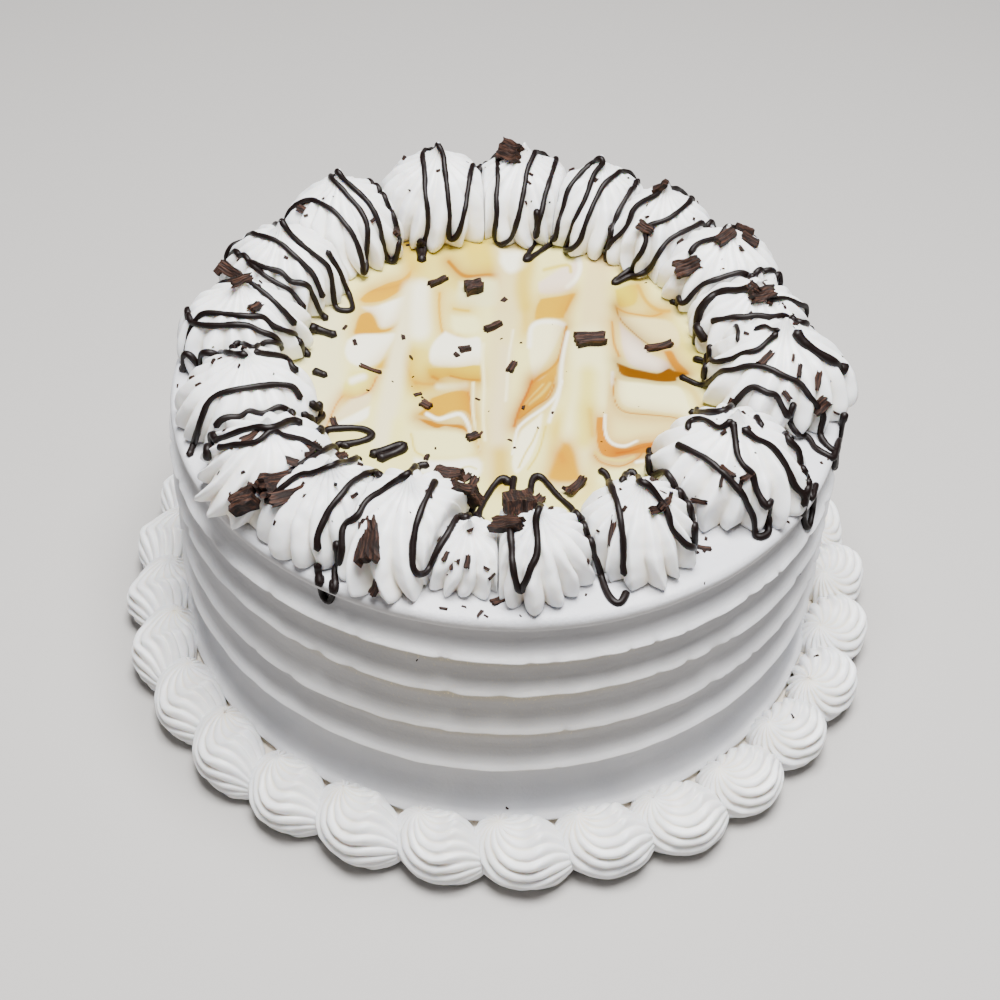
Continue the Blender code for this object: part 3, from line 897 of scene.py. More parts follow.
# The combed glaze trembles, so the points are shifted a little before they are painted
SWAY_PIXELS = 0.55
spots = photo_place(points_of(glaze))
sway = np.stack([np.sin(spots[:, 1] / 9.1) + np.sin(spots[:, 0] / 6.3 + spots[:, 1] / 13.7),
                 np.sin(spots[:, 0] / 8.3) + np.sin(spots[:, 1] / 5.9 - spots[:, 0] / 15.1)], axis=1)
spots = spots + SWAY_PIXELS * sway
marble = np.tile(linear(IVORY), (len(spots), 1))
print("glaze: poured ivory on", len(marble), "points")

# %% Broad soft washes of caramel
patch(PALE_GOLD, (462, 236, 508, 236, 510, 268, 470, 270), 9, 0.8)
ribbon((245, 212, 110), (514, 240, 521, 285, 526, 330), 8, 11, 0.75)
ribbon((246, 220, 130), (488, 425, 496, 455, 500, 482), 9, 11, 0.7)
ribbon((246, 218, 120), (562, 430, 570, 460, 574, 486), 15, 14, 0.8)
ribbon((247, 228, 150), (584, 372, 578, 405, 572, 440), 10, 12, 0.75)
ribbon((246, 222, 145), (394, 340, 404, 362, 416, 388), 7, 9, 0.7)
ribbon((246, 226, 155), (652, 318, 680, 340, 702, 372), 8, 10, 0.7)
ribbon((247, 230, 165), (356, 380, 338, 404, 326, 428), 7, 9, 0.7)
ribbon((244, 210, 115), (404, 240, 412, 262), 8, 9, 0.6)
ribbon((244, 210, 115), (600, 246, 632, 262), 8, 9, 0.5)
print("glaze: mean colour now", marble.mean(axis=0).round(3))

# %% Left of the first drag
patch((241, 234, 216), (300, 250, 340, 250, 345, 340, 335, 430, 290, 430), 10)
patch(PALE_GOLD, (398, 232, 460, 232, 500, 262, 500, 300, 445, 290, 410, 275), 8, 0.6)
patch(PALE_GOLD, (410, 345, 432, 350, 436, 385, 416, 396, 405, 370), 7, 0.7)
patch(GOLD, (359, 300, 367, 292, 386, 283, 402, 278, 411, 268, 408, 283, 395, 295, 382, 303, 365,
    304), 2)
ribbon((226, 180, 110), (372, 291, 388, 288, 402, 284), 2.5, 3, 0.5)
patch(WHITE, (362, 307, 379, 307, 400, 297, 408, 296, 402, 313, 392, 324, 381, 327, 376, 316, 367,
    311), 2)
patch((238, 196, 80), (356, 319, 360, 313, 370, 312, 376, 319, 381, 329, 394, 324, 405, 313, 402, 321,
    392, 329, 379, 334, 354, 335, 354, 326), 1.6)
patch(WHITE, (347, 340, 357, 335, 379, 335, 395, 333, 389, 348, 379, 362, 367, 367, 351, 362, 345,
    351), 2)
patch((242, 208, 125), (394, 350, 408, 354, 402, 364, 389, 369, 379, 370, 374, 368, 386, 356), 3)
ribbon((238, 200, 125), (402, 352, 407, 366, 410, 376, 415, 384), 1.5, 2, 0.8)
patch((246, 234, 188), (344, 383, 354, 374, 370, 370, 376, 378, 370, 389, 354, 396, 343, 397), 2)
# A painted highlight: a white spot on top of the pale yellow lobe
ribbon(WHITE, (352, 380, 358, 378, 363, 377), 3, 3)
ribbon((232, 176, 92), (376, 378, 370, 389, 359, 396, 351, 398), 1.2, 1.4)
ribbon((238, 188, 108), (327, 428, 336, 407, 343, 396), 1.1, 1.3)
patch(PINK, (351, 399, 370, 394, 367, 407, 343, 418, 336, 416), 3)
patch(WHITE, (370, 407, 368, 418, 350, 423, 332, 426, 345, 418), 2)
ribbon((241, 233, 218), (412, 290, 405, 320, 400, 345, 393, 382, 386, 421, 380, 445), 9, 6)
ribbon(WHITE, (422, 290, 420, 330), 9, 6, 0.8)
ribbon((214, 180, 112), (405, 243, 412, 241), 4, 3, 0.8)
ribbon((248, 238, 200), (398, 425, 395, 445, 402, 452), 7, 6, 0.6)
print("glaze: mean colour now", marble.mean(axis=0).round(3))

# %% Between the first drag and the middle one
ribbon(AMBER, (449, 262, 459, 273, 473, 277, 497, 275, 503, 273), 2.6, 2)
ribbon((236, 196, 92), (499, 277, 503, 294, 505, 307), 2.0, 2.5)
patch((240, 233, 212), (459, 281, 497, 281, 497, 306, 460, 306), 4)
ribbon(GOLD, (440, 294, 439, 310, 440, 326, 444, 334, 457, 337), 1.8, 1.8)
ribbon((243, 213, 145), (454, 308, 469, 311), 2, 2)
patch((247, 240, 215), (452, 315, 475, 317, 478, 332, 455, 332), 4)
patch(WHITE, (445, 332, 465, 339, 480, 339, 481, 364, 457, 366, 434, 366, 430, 354, 434, 342), 2)
patch((243, 216, 128), (427, 369, 455, 367, 481, 365, 481, 383, 470, 382, 450, 377, 437, 380, 430,
    378), 1.6)
ribbon(AMBER, (433, 377, 437, 379), 2.2, 2)
ribbon(AMBER, (450, 376, 468, 380, 479, 381), 1.4, 1.6)
ribbon((232, 190, 118), (415, 382, 424, 384, 434, 384), 2.4, 2.4, 0.8)
ribbon((241, 234, 216), (438, 387, 465, 386), 3, 3)
patch((238, 200, 98), (430, 399, 450, 390, 467, 390, 471, 404, 473, 420, 465, 412, 453, 412, 440, 417,
    418, 415, 426, 407), 2)
ribbon((230, 178, 56), (468, 392, 471, 404, 472, 418), 1.4, 1.6)
patch(AMBER, (418, 418, 430, 420, 440, 423, 458, 423, 465, 426, 470, 436, 462, 429, 446, 426, 437, 429,
    426, 425), 1.2)
ribbon(WHITE, (427, 414, 438, 419, 450, 416, 461, 414, 467, 422, 470, 432), 1.7, 1.0)
patch((246, 238, 212), (414, 432, 440, 431, 462, 433, 474, 452, 440, 456, 418, 452), 3)
ribbon((243, 221, 155), (411, 434, 414, 450, 424, 456), 0.8, 1)
patch(WHITE, (414, 458, 434, 461, 478, 459, 478, 477, 448, 480, 418, 472), 3)
ribbon((240, 228, 188), (459, 476, 462, 468, 470, 466, 477, 469), 0.8, 1)
ribbon((246, 238, 218), (473, 384, 473, 413, 480, 453), 1.4, 1)
ribbon((236, 200, 112), (475, 434, 480, 453), 0.7, 0.9)
print("glaze: mean colour now", marble.mean(axis=0).round(3))

# %% The middle drag
ribbon((240, 226, 205), (506, 236, 508, 300, 500, 345, 497, 400, 496, 470), 12, 8, 0.9)
ribbon(PINK, (506, 350, 500, 400, 497, 440), 6, 6, 0.8)
ribbon((240, 212, 150), (500, 455, 502, 480), 9, 8, 0.8)
ribbon((248, 240, 220), (484, 345, 483, 395, 485, 440), 1.4, 1.6)
ribbon((250, 245, 232), (512, 330, 508, 370, 506, 400), 1.0, 1.6, 0.8)
patch(WHITE, (501, 251, 522, 252, 527, 265, 509, 272, 500, 262), 4)
ribbon((243, 218, 150), (528, 262, 522, 285, 525, 305), 7, 6, 0.7)
print("glaze: mean colour now", marble.mean(axis=0).round(3))

# %% Between the middle drag and the right one
patch((238, 226, 222), (538, 283, 554, 272, 573, 262, 579, 254, 581, 270, 573, 286, 560, 293, 541,
    294), 2.5)
ribbon(WHITE, (577, 254, 579, 268, 575, 279, 567, 286), 2.2, 2)
ribbon((243, 224, 172), (543, 270, 567, 265, 570, 272), 1.6, 1.6)
patch((240, 204, 108), (541, 299, 560, 295, 576, 292, 573, 302, 565, 315, 563, 318, 546, 318, 535, 321,
    536, 308), 2.2)
ribbon((230, 182, 75), (572, 296, 566, 310), 2.2, 2.4, 0.7)
patch((247, 240, 222), (530, 335, 533, 326, 541, 321, 554, 320, 565, 323, 560, 334, 554, 348, 543, 367,
    533, 377, 530, 358), 2)
ribbon(WHITE, (530, 346, 531, 330, 539, 323, 554, 321, 563, 324), 2.2, 2)
ribbon(AMBER, (566, 326, 564, 342, 560, 358, 551, 370, 538, 378, 532, 383), 2.2, 1.6)
patch((237, 198, 112), (559, 362, 557, 374, 551, 389, 544, 402, 530, 413, 520, 418, 516, 425, 520, 408,
    527, 393, 532, 383, 543, 378), 1.4)
ribbon((244, 222, 172), (550, 383, 540, 396, 530, 405), 1.4, 1.4)
ribbon((244, 222, 172), (543, 384, 534, 394, 526, 404), 0.8, 1.0)
ribbon((220, 158, 40), (531, 381, 525, 397, 519, 410, 514, 426), 1.8, 1.6)
ribbon(AMBER, (554, 384, 547, 399, 532, 410, 520, 418), 1.2, 1.3)
ribbon(WHITE, (561, 381, 554, 397, 543, 410, 527, 420, 517, 431, 513, 453), 1.3, 1.2)
patch((248, 243, 230), (522, 431, 538, 418, 543, 415, 536, 442, 528, 461, 517, 474, 513, 461, 517,
    442), 1.6)
ribbon((242, 220, 155), (538, 428, 532, 442, 525, 453, 519, 468), 0.8, 0.9)
ribbon((242, 220, 155), (545, 426, 538, 452, 528, 470), 0.9, 1.1)
print("glaze: mean colour now", marble.mean(axis=0).round(3))

# %% The right drag
ribbon((241, 226, 205), (600, 248, 595, 300, 590, 345), 13, 7)
ribbon((246, 238, 216), (590, 345, 588, 400, 575, 450, 568, 480), 18, 8)
ribbon((246, 230, 178), (588, 375, 586, 410, 583, 440), 9, 8, 0.8)
ribbon(WHITE, (568, 332, 562, 366, 557, 397, 549, 421), 1.6, 1.8)
patch((239, 198, 102), (561, 440, 571, 442, 579, 462, 582, 482, 548, 482, 552, 460), 6)
ribbon((234, 184, 80), (561, 455, 563, 460), 4, 5, 0.8)
ribbon((240, 214, 148), (590, 410, 592, 435), 4, 4, 0.8)
ribbon(WHITE, (612, 372, 609, 405, 606, 437), 1.6, 1.6)
print("glaze: mean colour now", marble.mean(axis=0).round(3))

# %% Right of the last drag
patch((243, 221, 138), (614, 289, 637, 284, 638, 303, 626, 308, 618, 305), 3)
ribbon((238, 204, 138), (638, 286, 646, 302, 659, 310, 669, 311), 3, 3)
ribbon((236, 192, 105), (618, 307, 629, 313, 650, 316, 662, 313), 1.4, 1.5)
patch((242, 228, 206), (619, 316, 634, 318, 665, 319, 678, 332, 678, 348, 659, 345, 643, 340, 630,
    332), 2)
patch((240, 230, 226), (619, 322, 627, 332, 643, 343, 650, 353, 662, 358, 669, 362, 670, 367, 662, 371,
    646, 371, 634, 367, 626, 358, 621, 342), 1.6)
ribbon(BROWN_LINE, (616, 305, 622, 322, 633, 334, 646, 343, 656, 348), 0.9, 1.1)
patch((230, 180, 85), (662, 350, 673, 350, 681, 362, 690, 374, 680, 376, 672, 366), 2.5)
ribbon((233, 186, 85), (612, 322, 614, 342, 619, 356), 1.8, 2)
patch(DARK_AMBER, (616, 362, 626, 366, 637, 370, 657, 373, 669, 367, 675, 370, 686, 374, 677, 378, 675,
    382, 656, 382, 634, 379, 622, 375, 618, 370), 1.2)
patch((248, 241, 220), (618, 379, 630, 382, 656, 385, 673, 386, 681, 391, 689, 405, 693, 417, 678, 414,
    650, 411, 629, 408, 621, 401, 618, 389), 1.6)
ribbon((234, 212, 175), (684, 385, 695, 395, 702, 408), 4, 4, 0.8)
patch((242, 227, 200), (608, 379, 613, 390, 616, 406, 626, 415, 650, 418, 673, 420, 684, 430, 678, 436,
    650, 438, 634, 442, 621, 445, 611, 441, 606, 434, 606, 414), 1.6)
ribbon(AMBER, (614, 378, 613, 390, 617, 404, 626, 412, 642, 415, 662, 416, 678, 419, 686, 427, 687,
    432), 0.9, 1)
patch((233, 181, 58), (597, 417, 605, 417, 605, 434, 611, 444, 626, 448, 642, 444, 665, 439, 672, 441,
    659, 452, 643, 454, 626, 455, 611, 457, 602, 455, 597, 445, 596, 430), 1.4)
ribbon((214, 150, 28), (616, 452, 632, 451, 650, 446, 664, 442), 1.4, 1.8)
ribbon(WHITE, (606, 414, 606, 434, 612, 443, 625, 446, 637, 442), 1.1, 1.0)
ribbon((246, 231, 186), (595, 452, 605, 458, 622, 460, 634, 457), 1.3, 1.2)
ribbon((226, 176, 82), (595, 456, 602, 463, 621, 466, 637, 459, 643, 452), 1.1, 1.1)
patch((247, 240, 212), (605, 470, 640, 470, 650, 482, 600, 484), 3)
ribbon(WHITE, (637, 462, 643, 461), 1.4, 1.4)
ribbon((216, 160, 72), (600, 252, 612, 256, 627, 259), 3, 3, 0.8)
ribbon((222, 168, 75), (640, 258, 648, 262), 4, 4, 0.8)
print("glaze: mean colour now", marble.mean(axis=0).round(3))

# %% Finish of the glaze
GLAZE_GLOSS = 0.12

with_opacity = np.hstack([marble, np.ones((len(marble), 1))])
layer = glaze.data.color_attributes.new("marble", "FLOAT_COLOR", "POINT")
layer.data.foreach_set("color", with_opacity.astype(np.float32).ravel())
marbled_glaze, tree, shader = new_finish("marbled_glaze", roughness=0.3)
tree.links.new(stored(tree, "marble", "Color"), shader.inputs["Base Color"])
shader.inputs["Specular IOR Level"].default_value = GLAZE_GLOSS
add_bump(tree, shader, noise(tree, scale=260), strength=0.1, distance=0.15 * MM)
finish_piece(glaze, marbled_glaze, "marbled_glaze", "marbled_glaze")
print("glaze: painted", len(marble), "points")

# %% [markdown]
# ## The drizzle
#
# Melted chocolate is flicked to and fro over the ring. It falls in a thin strand, lands on the crests
# of the pleats, sags a little between them and pools where it turns. Each strand is drawn as the photo
# shows it, and a ray through each point of it finds the cream. Where a strand passes behind a crest it
# is laid down from above. Bent cylinders would do, but a curve keeps its thickness in a number at
# each point, so a tube that swells and thins, round at its ends, is run along it.

# %% Find the cream under a point


def gather(pieces):
    """One search tree over the faces of many pieces."""
    corners, faces = [], []
    for piece in pieces:
        start = len(corners)
        corners.extend(points_of(piece).tolist())
        faces.extend([start + corner for corner in face.vertices] for face in piece.data.polygons)
    return BVHTree.FromPolygons(corners, faces)


cream = gather([side, glaze, *rosettes, *shells])


def look_through(spot):
    """The place and the slope of the cream seen at a photo point, and how far away it is."""
    aim = camera_turn.to_3x3() @ Vector(((spot[0] - PHOTO_CENTRE) / FOCAL_PIXELS,
                                        (PHOTO_CENTRE - spot[1]) / FOCAL_PIXELS, -1)).normalized()
    place, normal, _, distance = cream.ray_cast(CAMERA_PLACE, aim)
    return place, normal, distance, aim


def drop_on(x, y):
    """The place and the slope of the cream straight under a point of the plan."""
    place, normal, _, _ = cream.ray_cast(Vector((x, y, 0.2)), Vector((0, 0, -1)))
    return place, normal


print("cream found under the photo's centre at", look_through((500, 400))[0])

# %% Lay a strand
LONGEST_JUMP = 4 * MM
MOST_LIFT = 1.4 * MM
TAUT_PASSES = 10
STEP = 0.9 * MM


def seen_run(route):
    """Lays the seen part of a strand: taut over the crests, and let down between them."""
    looks = [look_through(spot) for spot in route]
    looks = [look for look in looks if look[0] is not None]
    runs, run = [], []
    for look in looks:
        if run and (look[0] - run[-1][0]).length > LONGEST_JUMP:
            runs.append(run)
            run = []
        run.append(look)
    runs.append(run)
    laid = []
    for run in runs:
        ground = np.array([look[2] for look in run])
        depth = ground.copy()
        for _ in range(TAUT_PASSES):
            middle = (depth[:-2] + depth[2:]) / 2
            depth[1:-1] = np.clip(middle, ground[1:-1] - MOST_LIFT, ground[1:-1])
        laid.append([(CAMERA_PLACE + look[3] * far, look[1]) for look, far in zip(run, depth)])
    return laid


def bridge(start, end):
    """Lays the hidden part of a strand from above."""
    steps = int((end - start).length / STEP)
    laid = []
    for number in range(1, steps):
        spot = start.lerp(end, number / steps)
        place, normal = drop_on(spot.x, spot.y)
        if place is not None:
            laid.append((place, normal))
    return laid


def lay_strand(way):
    """Lays one strand from its photo points and its plan points (azimuth, distance, 0)."""
    laid, seen = [], []
    for point in [*way, None]:
        if point is not None and len(point) == 2:
            seen.append(point)
            continue
        if len(seen) > 1:
            for run in seen_run(smooth_route(seen, 6)):
                if laid:
                    laid += bridge(laid[-1][0], run[0][0])
                laid += run
            seen = []
        if point is not None:
            place = polar(point[0], point[1] * MM)
            if laid:
                laid += bridge(laid[-1][0], place)
            else:
                laid.append(drop_on(place.x, place.y))
    return laid


print("one strand in two points is laid in", len(lay_strand([(309, 401), (323, 417)])), "steps")

# %% Even a strand out
STRAND_RADIUS = 0.98 * MM
FEWEST_POINTS = 8
SMOOTHING_PASSES = 4
WAVE_SWELL = 0.12
END_SWELL, END_LENGTH = 0.25, 2.6 * MM
MOST_TURN_SWELL = 0.22
TIP_LENGTH = 1.1 * MM
SITS_ABOVE = 0.45 * STRAND_RADIUS


def even_strand(laid):
    """Spaces a strand's points evenly, lifts them onto the cream and gives each a radius."""
    places = np.array([place for place, _ in laid])
    normals = np.array([normal for _, normal in laid])
    lengths = np.concatenate([[0], np.cumsum(np.linalg.norm(np.diff(places, axis=0), axis=1))])
    count = max(FEWEST_POINTS, int(lengths[-1] / STEP))
    marks = np.linspace(0, lengths[-1], count)
    places = np.stack([np.interp(marks, lengths, places[:, i]) for i in range(3)], axis=1)
    normals = np.stack([np.interp(marks, lengths, normals[:, i]) for i in range(3)], axis=1)
    for _ in range(SMOOTHING_PASSES):
        places[1:-1] = (places[:-2] + 2 * places[1:-1] + places[2:]) / 4
        normals[1:-1] = (normals[:-2] + normals[1:-1] + normals[2:]) / 3
    draw = np.random.default_rng(count)
    waves = np.sin(marks / (2.3 * MM) + draw.uniform(0, 6))
    swell = 1 + WAVE_SWELL * waves * np.sin(marks / (5.1 * MM))
    to_end = np.minimum(marks, lengths[-1] - marks)
    swell *= 1 + END_SWELL * np.exp(-(to_end / END_LENGTH) ** 2)
    tip = np.clip(to_end / TIP_LENGTH, 0, 1)
    turn = np.zeros(count)
    steps = np.diff(places, axis=0)
    steps /= np.maximum(np.linalg.norm(steps, axis=1), 1e-9)[:, None]
    turn[1:-1] = 1 - (steps[:-1] * steps[1:]).sum(axis=1)
    swell *= 1 + np.minimum(MOST_TURN_SWELL, np.convolve(turn, np.ones(7), "same") * 0.2)
    radii = STRAND_RADIUS * swell * np.sqrt(np.maximum(1 - (1 - tip) ** 2, 0.02))
    return places + normals * SITS_ABOVE, radii


print("strand:", round(2 * STRAND_RADIUS / MM, 2), "mm thick")

# %% Routes of the strands
# Each strand is a thickness share, then its points. Two numbers are a photo point, and three are a
# plan point, an azimuth and a distance in mm, for the sides that the photo doesn't show.
STRANDS = [
    (1.0, [(189, 458), (195, 440), (200, 423), (211, 399), (232, 391), (266, 386), (291, 386), (301, 401)]),
    (1.1, [(309, 401), (323, 417), (310, 419), (301, 412)]),
    (0.95, [(215, 428), (223, 417), (240, 417), (248, 409), (261, 414), (280, 406), (293, 416)]),
    (1.1, [(208, 458), (211, 445), (234, 434), (256, 428), (272, 428), (293, 421), (302, 426)]),
    (0.9, [(218, 447), (243, 445), (259, 442), (272, 429), (282, 436), (304, 441), (321, 450)]),
    (1.1, [(318, 431), (358, 429), (374, 436), (363, 442), (339, 447)]),
    (1.0, [(285, 474), (306, 460), (323, 450), (339, 444), (350, 449)]),
    (1.35, [(369, 457), (400, 446), (404, 450), (377, 461)]),
    (0.9, [(266, 504), (298, 476), (313, 474), (331, 465), (345, 463), (361, 458)]),
    (1.0, [(318, 551), (317, 536), (328, 512), (341, 495), (352, 482), (372, 472), (382, 477)]),
    (1.0, [(318, 562), (321, 587), (329, 603), (336, 587), (334, 571), (342, 552), (342, 527), (358, 517),
           (366, 503), (380, 493), (393, 484), (406, 476), (419, 466), (430, 467)]),
    (1.0, [(435, 482), (427, 496), (418, 519), (413, 545), (411, 566), (418, 575), (428, 568), (439, 549),
           (451, 530), (460, 517), (466, 520), (470, 509), (476, 502)]),
    (1.0, [(477, 517), (488, 495), (502, 478), (510, 486)]),
    (1.0, [(514, 477), (512, 496), (511, 524), (512, 552), (515, 580), (519, 592), (528, 580), (532, 563),
           (536, 559), (537, 538), (536, 519), (540, 506)]),
    (1.0, [(530, 496), (532, 481), (539, 476), (546, 483), (559, 498), (567, 505), (574, 512), (585, 531),
           (596, 559), (602, 580), (608, 596), (619, 606), (627, 592)]),
    (1.0, [(626, 576), (624, 552), (621, 521), (617, 501), (610, 483), (605, 473), (598, 471)]),
    (1.0, [(622, 483), (631, 471), (640, 482), (645, 482), (659, 499), (669, 516), (672, 528), (691, 547),
           (694, 532), (688, 506), (679, 494), (674, 483), (665, 471), (652, 475), (650, 462), (650, 449)]),
    (1.0, [(676, 444), (691, 451), (707, 459), (726, 476), (741, 492), (746, 504), (755, 518), (755, 538),
           (760, 538), (769, 533), (767, 509), (757, 490), (753, 475), (743, 466), (736, 449), (733, 420)]),
    (1.05, [(741, 428), (755, 439), (772, 447), (786, 466), (796, 488), (805, 495), (803, 507)]),
    (0.9, [(755, 417), (762, 428)]),
    (1.0, [(783, 431), (788, 442), (798, 450), (800, 466), (807, 479), (811, 512), (806, 529), (801, 516)]),
    (1.0, [(688, 413), (700, 413), (715, 413), (727, 411), (741, 395), (753, 386), (768, 394), (776, 394),
           (786, 414), (798, 433), (808, 437), (815, 449), (831, 459), (833, 470), (834, 454), (824, 444),
           (820, 432), (824, 414), (813, 402), (801, 384), (782, 376), (767, 368), (749, 366), (733, 370),
           (721, 373), (703, 386), (690, 382), (679, 377)]),
    (0.85, [(689, 431), (690, 422), (700, 419), (710, 423), (721, 429), (733, 419)]),
    (0.9, [(704, 381), (706, 364), (692, 359), (712, 362), (733, 359), (741, 354), (758, 351), (767, 342),
           (779, 333)]),
    (1.5, [(794, 330), (802, 343), (822, 356), (847, 371)]),
    (1.0, [(713, 322), (733, 317), (746, 318), (756, 315), (771, 318), (784, 315), (797, 323), (816, 326),
           (829, 332), (6, 102, 0), (10, 102, 0)]),
    (0.7, [(736, 325), (739, 331), (738, 343)]),
    (0.7, [(754, 331), (766, 326), (773, 331), (781, 330)]),
    (1.4, [(706, 341), (698, 328), (699, 315), (706, 303), (721, 293), (743, 291), (755, 287)]),
    (0.9, [(766, 300), (785, 299), (800, 305), (816, 307), (12, 102, 0), (17, 103, 0), (800, 282)]),
    (1.0, [(669, 302), (683, 304), (698, 287), (717, 279), (741, 272), (752, 278), (759, 270), (789, 272),
           (25, 103, 0), (31, 103, 0)]),
    (1.0, [(36, 103, 0), (40, 101, 0), (721, 238), (698, 244), (690, 256)]),
    (0.95, [(419, 238), (422, 263), (426, 240), (427, 212), (425, 180), (422, 142), (107, 104, 0),
            (435, 140), (443, 157), (448, 208), (450, 239), (458, 234), (463, 218), (468, 189), (472, 165),
            (484, 138), (95, 104, 0), (500, 140), (498, 171), (497, 212), (496, 241), (504, 243),
            (515, 231), (521, 202), (530, 161), (547, 142), (82, 104, 0), (562, 142), (549, 181),
            (541, 212), (535, 242), (524, 262), (540, 252), (554, 241), (560, 222), (570, 187), (596, 161),
            (609, 153), (611, 158), (596, 171), (586, 196), (574, 222), (565, 250), (578, 243), (586, 222),
            (602, 187), (625, 169), (65, 102, 0), (643, 173), (619, 208), (613, 230), (604, 249),
            (613, 240), (627, 226), (635, 208), (660, 193), (55, 103, 0), (692, 200), (670, 218),
            (645, 228), (646, 240), (635, 263), (612, 285), (632, 276), (651, 268), (666, 242),
            (698, 224), (46, 101, 0)]),
    (1.5, [(420, 240), (421, 252), (422, 263)]),
    (0.95, [(326, 250), (336, 266), (345, 285), (353, 309), (344, 312), (336, 309), (333, 294), (329, 269),
            (313, 254), (298, 243), (282, 223), (142, 104, 0), (313, 200), (329, 208), (339, 216),
            (352, 234), (360, 256), (364, 275), (368, 237), (361, 213), (339, 186), (326, 172),
            (127, 105, 0), (339, 175), (350, 186), (369, 205), (380, 226), (385, 250), (392, 264),
            (398, 248), (396, 225), (385, 200), (121, 104, 0)]),
    (0.95, [(323, 298), (313, 274), (302, 264), (285, 247), (272, 239), (250, 234), (155, 104, 0),
            (256, 264), (272, 270), (282, 272), (290, 282), (304, 283), (313, 294), (320, 312),
            (328, 321)]),
    (1.4, [(309, 327), (337, 337)]),
    (0.9, [(306, 309), (294, 293), (282, 285), (270, 279), (248, 262)]),
    (1.0, [(296, 325), (282, 310), (269, 298), (256, 288), (245, 282), (165, 103, 0), (171, 103, 0),
           (191, 323), (210, 326), (245, 325), (259, 331), (274, 337), (280, 345)]),
    (1.0, [(310, 358), (301, 347), (293, 334), (272, 326), (262, 317), (250, 317), (205, 314), (191, 328),
           (-178, 102, 0), (203, 352), (218, 353), (247, 355)]),
    (0.85, [(232, 349), (237, 341), (253, 349), (266, 341), (280, 345)]),
    (1.0, [(253, 353), (266, 355), (285, 358), (291, 368), (298, 372)]),
    (1.2, [(312, 372), (328, 377)]),
]
print("routes:", len(STRANDS), "with", sum(len(way) for _, way in STRANDS), "points")

# %% Pour the drizzle
drizzle_curve = bpy.data.curves.new("drizzle", "CURVE")
drizzle_curve.dimensions = "3D"
drizzle_curve.bevel_depth = 1.0
drizzle_curve.bevel_resolution = 4
drizzle_curve.use_fill_caps = True
for share, way in STRANDS:
    line, radii = even_strand(lay_strand(way))
    spline = drizzle_curve.splines.new("POLY")
    spline.points.add(len(line) - 1)
    spline.points.foreach_set("co", np.hstack([line, np.ones((len(line), 1))]).ravel())
    spline.points.foreach_set("radius", radii * share)
drizzle = bpy.data.objects.new("drizzle", drizzle_curve)
bpy.context.scene.collection.objects.link(drizzle)
bpy.ops.object.select_all(action="DESELECT")
drizzle.select_set(True)
bpy.context.view_layer.objects.active = drizzle
bpy.ops.object.convert(target="MESH")
drizzle = bpy.context.object
ruffle(drizzle, "chocolate_lumps", size=2.5 * MM, strength=0.35 * MM)
print("drizzle:", len(STRANDS), "strands,", len(drizzle.data.polygons), "faces")

# %% [markdown]
# ## Chocolate
#
# One chocolate makes the drizzle, the shavings and the crumbs. Melted it sets near black, with a soft
# gloss. Shaved it is paler and dull, with fine marks of the knife. Two materials would do, but a value
# stored on each mesh, 0 for melted and 1 for shaved, keeps them one chocolate.

# %% The chocolate's finish
SHAVED = "shaved"
MELTED_BROWN = (0.0048, 0.0018, 0.0015, 1)
DARK_SHAVING = (0.009, 0.0042, 0.0032, 1)
PALE_SHAVING = (0.075, 0.031, 0.018, 1)
MELTED_ROUGHNESS = 0.46
SHAVED_ROUGHNESS = 0.70
CHOCOLATE_GLOSS = 0.2

chocolate, tree, shader = new_finish("chocolate", MELTED_ROUGHNESS)
shaved = stored(tree, SHAVED)
grain = stored(tree, "grain", "Vector")
streaks = add_node(tree, "ShaderNodeTexNoise", {"Vector": grain, "Scale": 1.0, "Detail": 3.0})
paler = remap(tree, streaks.outputs["Fac"], 0.46, 0.74)
shaving_colour = mix_colour(tree, paler, DARK_SHAVING, PALE_SHAVING)
colour = mix_colour(tree, shaved, MELTED_BROWN, shaving_colour)
tree.links.new(colour, shader.inputs["Base Color"])
roughness = remap(tree, shaved, 0, 1, MELTED_ROUGHNESS, SHAVED_ROUGHNESS)
tree.links.new(roughness, shader.inputs["Roughness"])
shader.inputs["Specular IOR Level"].default_value = CHOCOLATE_GLOSS
add_bump(tree, shader, noise(tree, scale=1600), strength=0.3, distance=0.12 * MM)
store_value(drizzle, SHAVED, np.zeros(len(drizzle.data.vertices)))
finish_piece(drizzle, chocolate, "chocolate")
print("chocolate:", chocolate.name)

# %% [markdown]
# ## Shavings and crumbs
#
# A knife drawn over a bar takes off thin curls, ragged at their ends and scored along their length,
# and breaks some blocks loose. Each is a cube that is cut up, curled and torn by moving its points,
# then laid where the photo shows one. A thickened sheet would curl as well, but a block breaks more
# like chocolate. The crumbs are what falls with them: a few hundred chips of only six faces each.

# %% Cut and curl one shaving
CUTS = 7
GRAIN_STRETCH = (0.12, 2.2, 0.8)
LOOSE = 0.35
MOST_ROCK = 14


def cut_cube():
    """A cube with a grid of points on its faces."""
    bpy.ops.object.select_all(action="DESELECT")
    bpy.ops.mesh.primitive_cube_add(size=1)
    piece = bpy.context.object
    bpy.ops.object.mode_set(mode="EDIT")
    bpy.ops.mesh.subdivide(number_cuts=CUTS)
    bpy.ops.object.mode_set(mode="OBJECT")
    return piece


def seat(spot, heading):
    """The place on the cream at a photo point, its upward way, and the turn that heads along it."""
    place, normal, _, aim = look_through(spot)
    while place is None:
        spot = (spot[0], spot[1] + 2)
        place, normal, _, aim = look_through(spot)
    up = (normal + Vector((0, 0, 0.5))).normalized()
    across = math.radians(heading)
    along = camera_turn.to_3x3() @ Vector((math.cos(across), math.sin(across), 0))
    along -= aim * (along.dot(up) / aim.dot(up))
    side_way = up.cross(along).normalized()
    along = side_way.cross(up)
    return place, up, Matrix((along, side_way, up)).transposed().to_4x4()


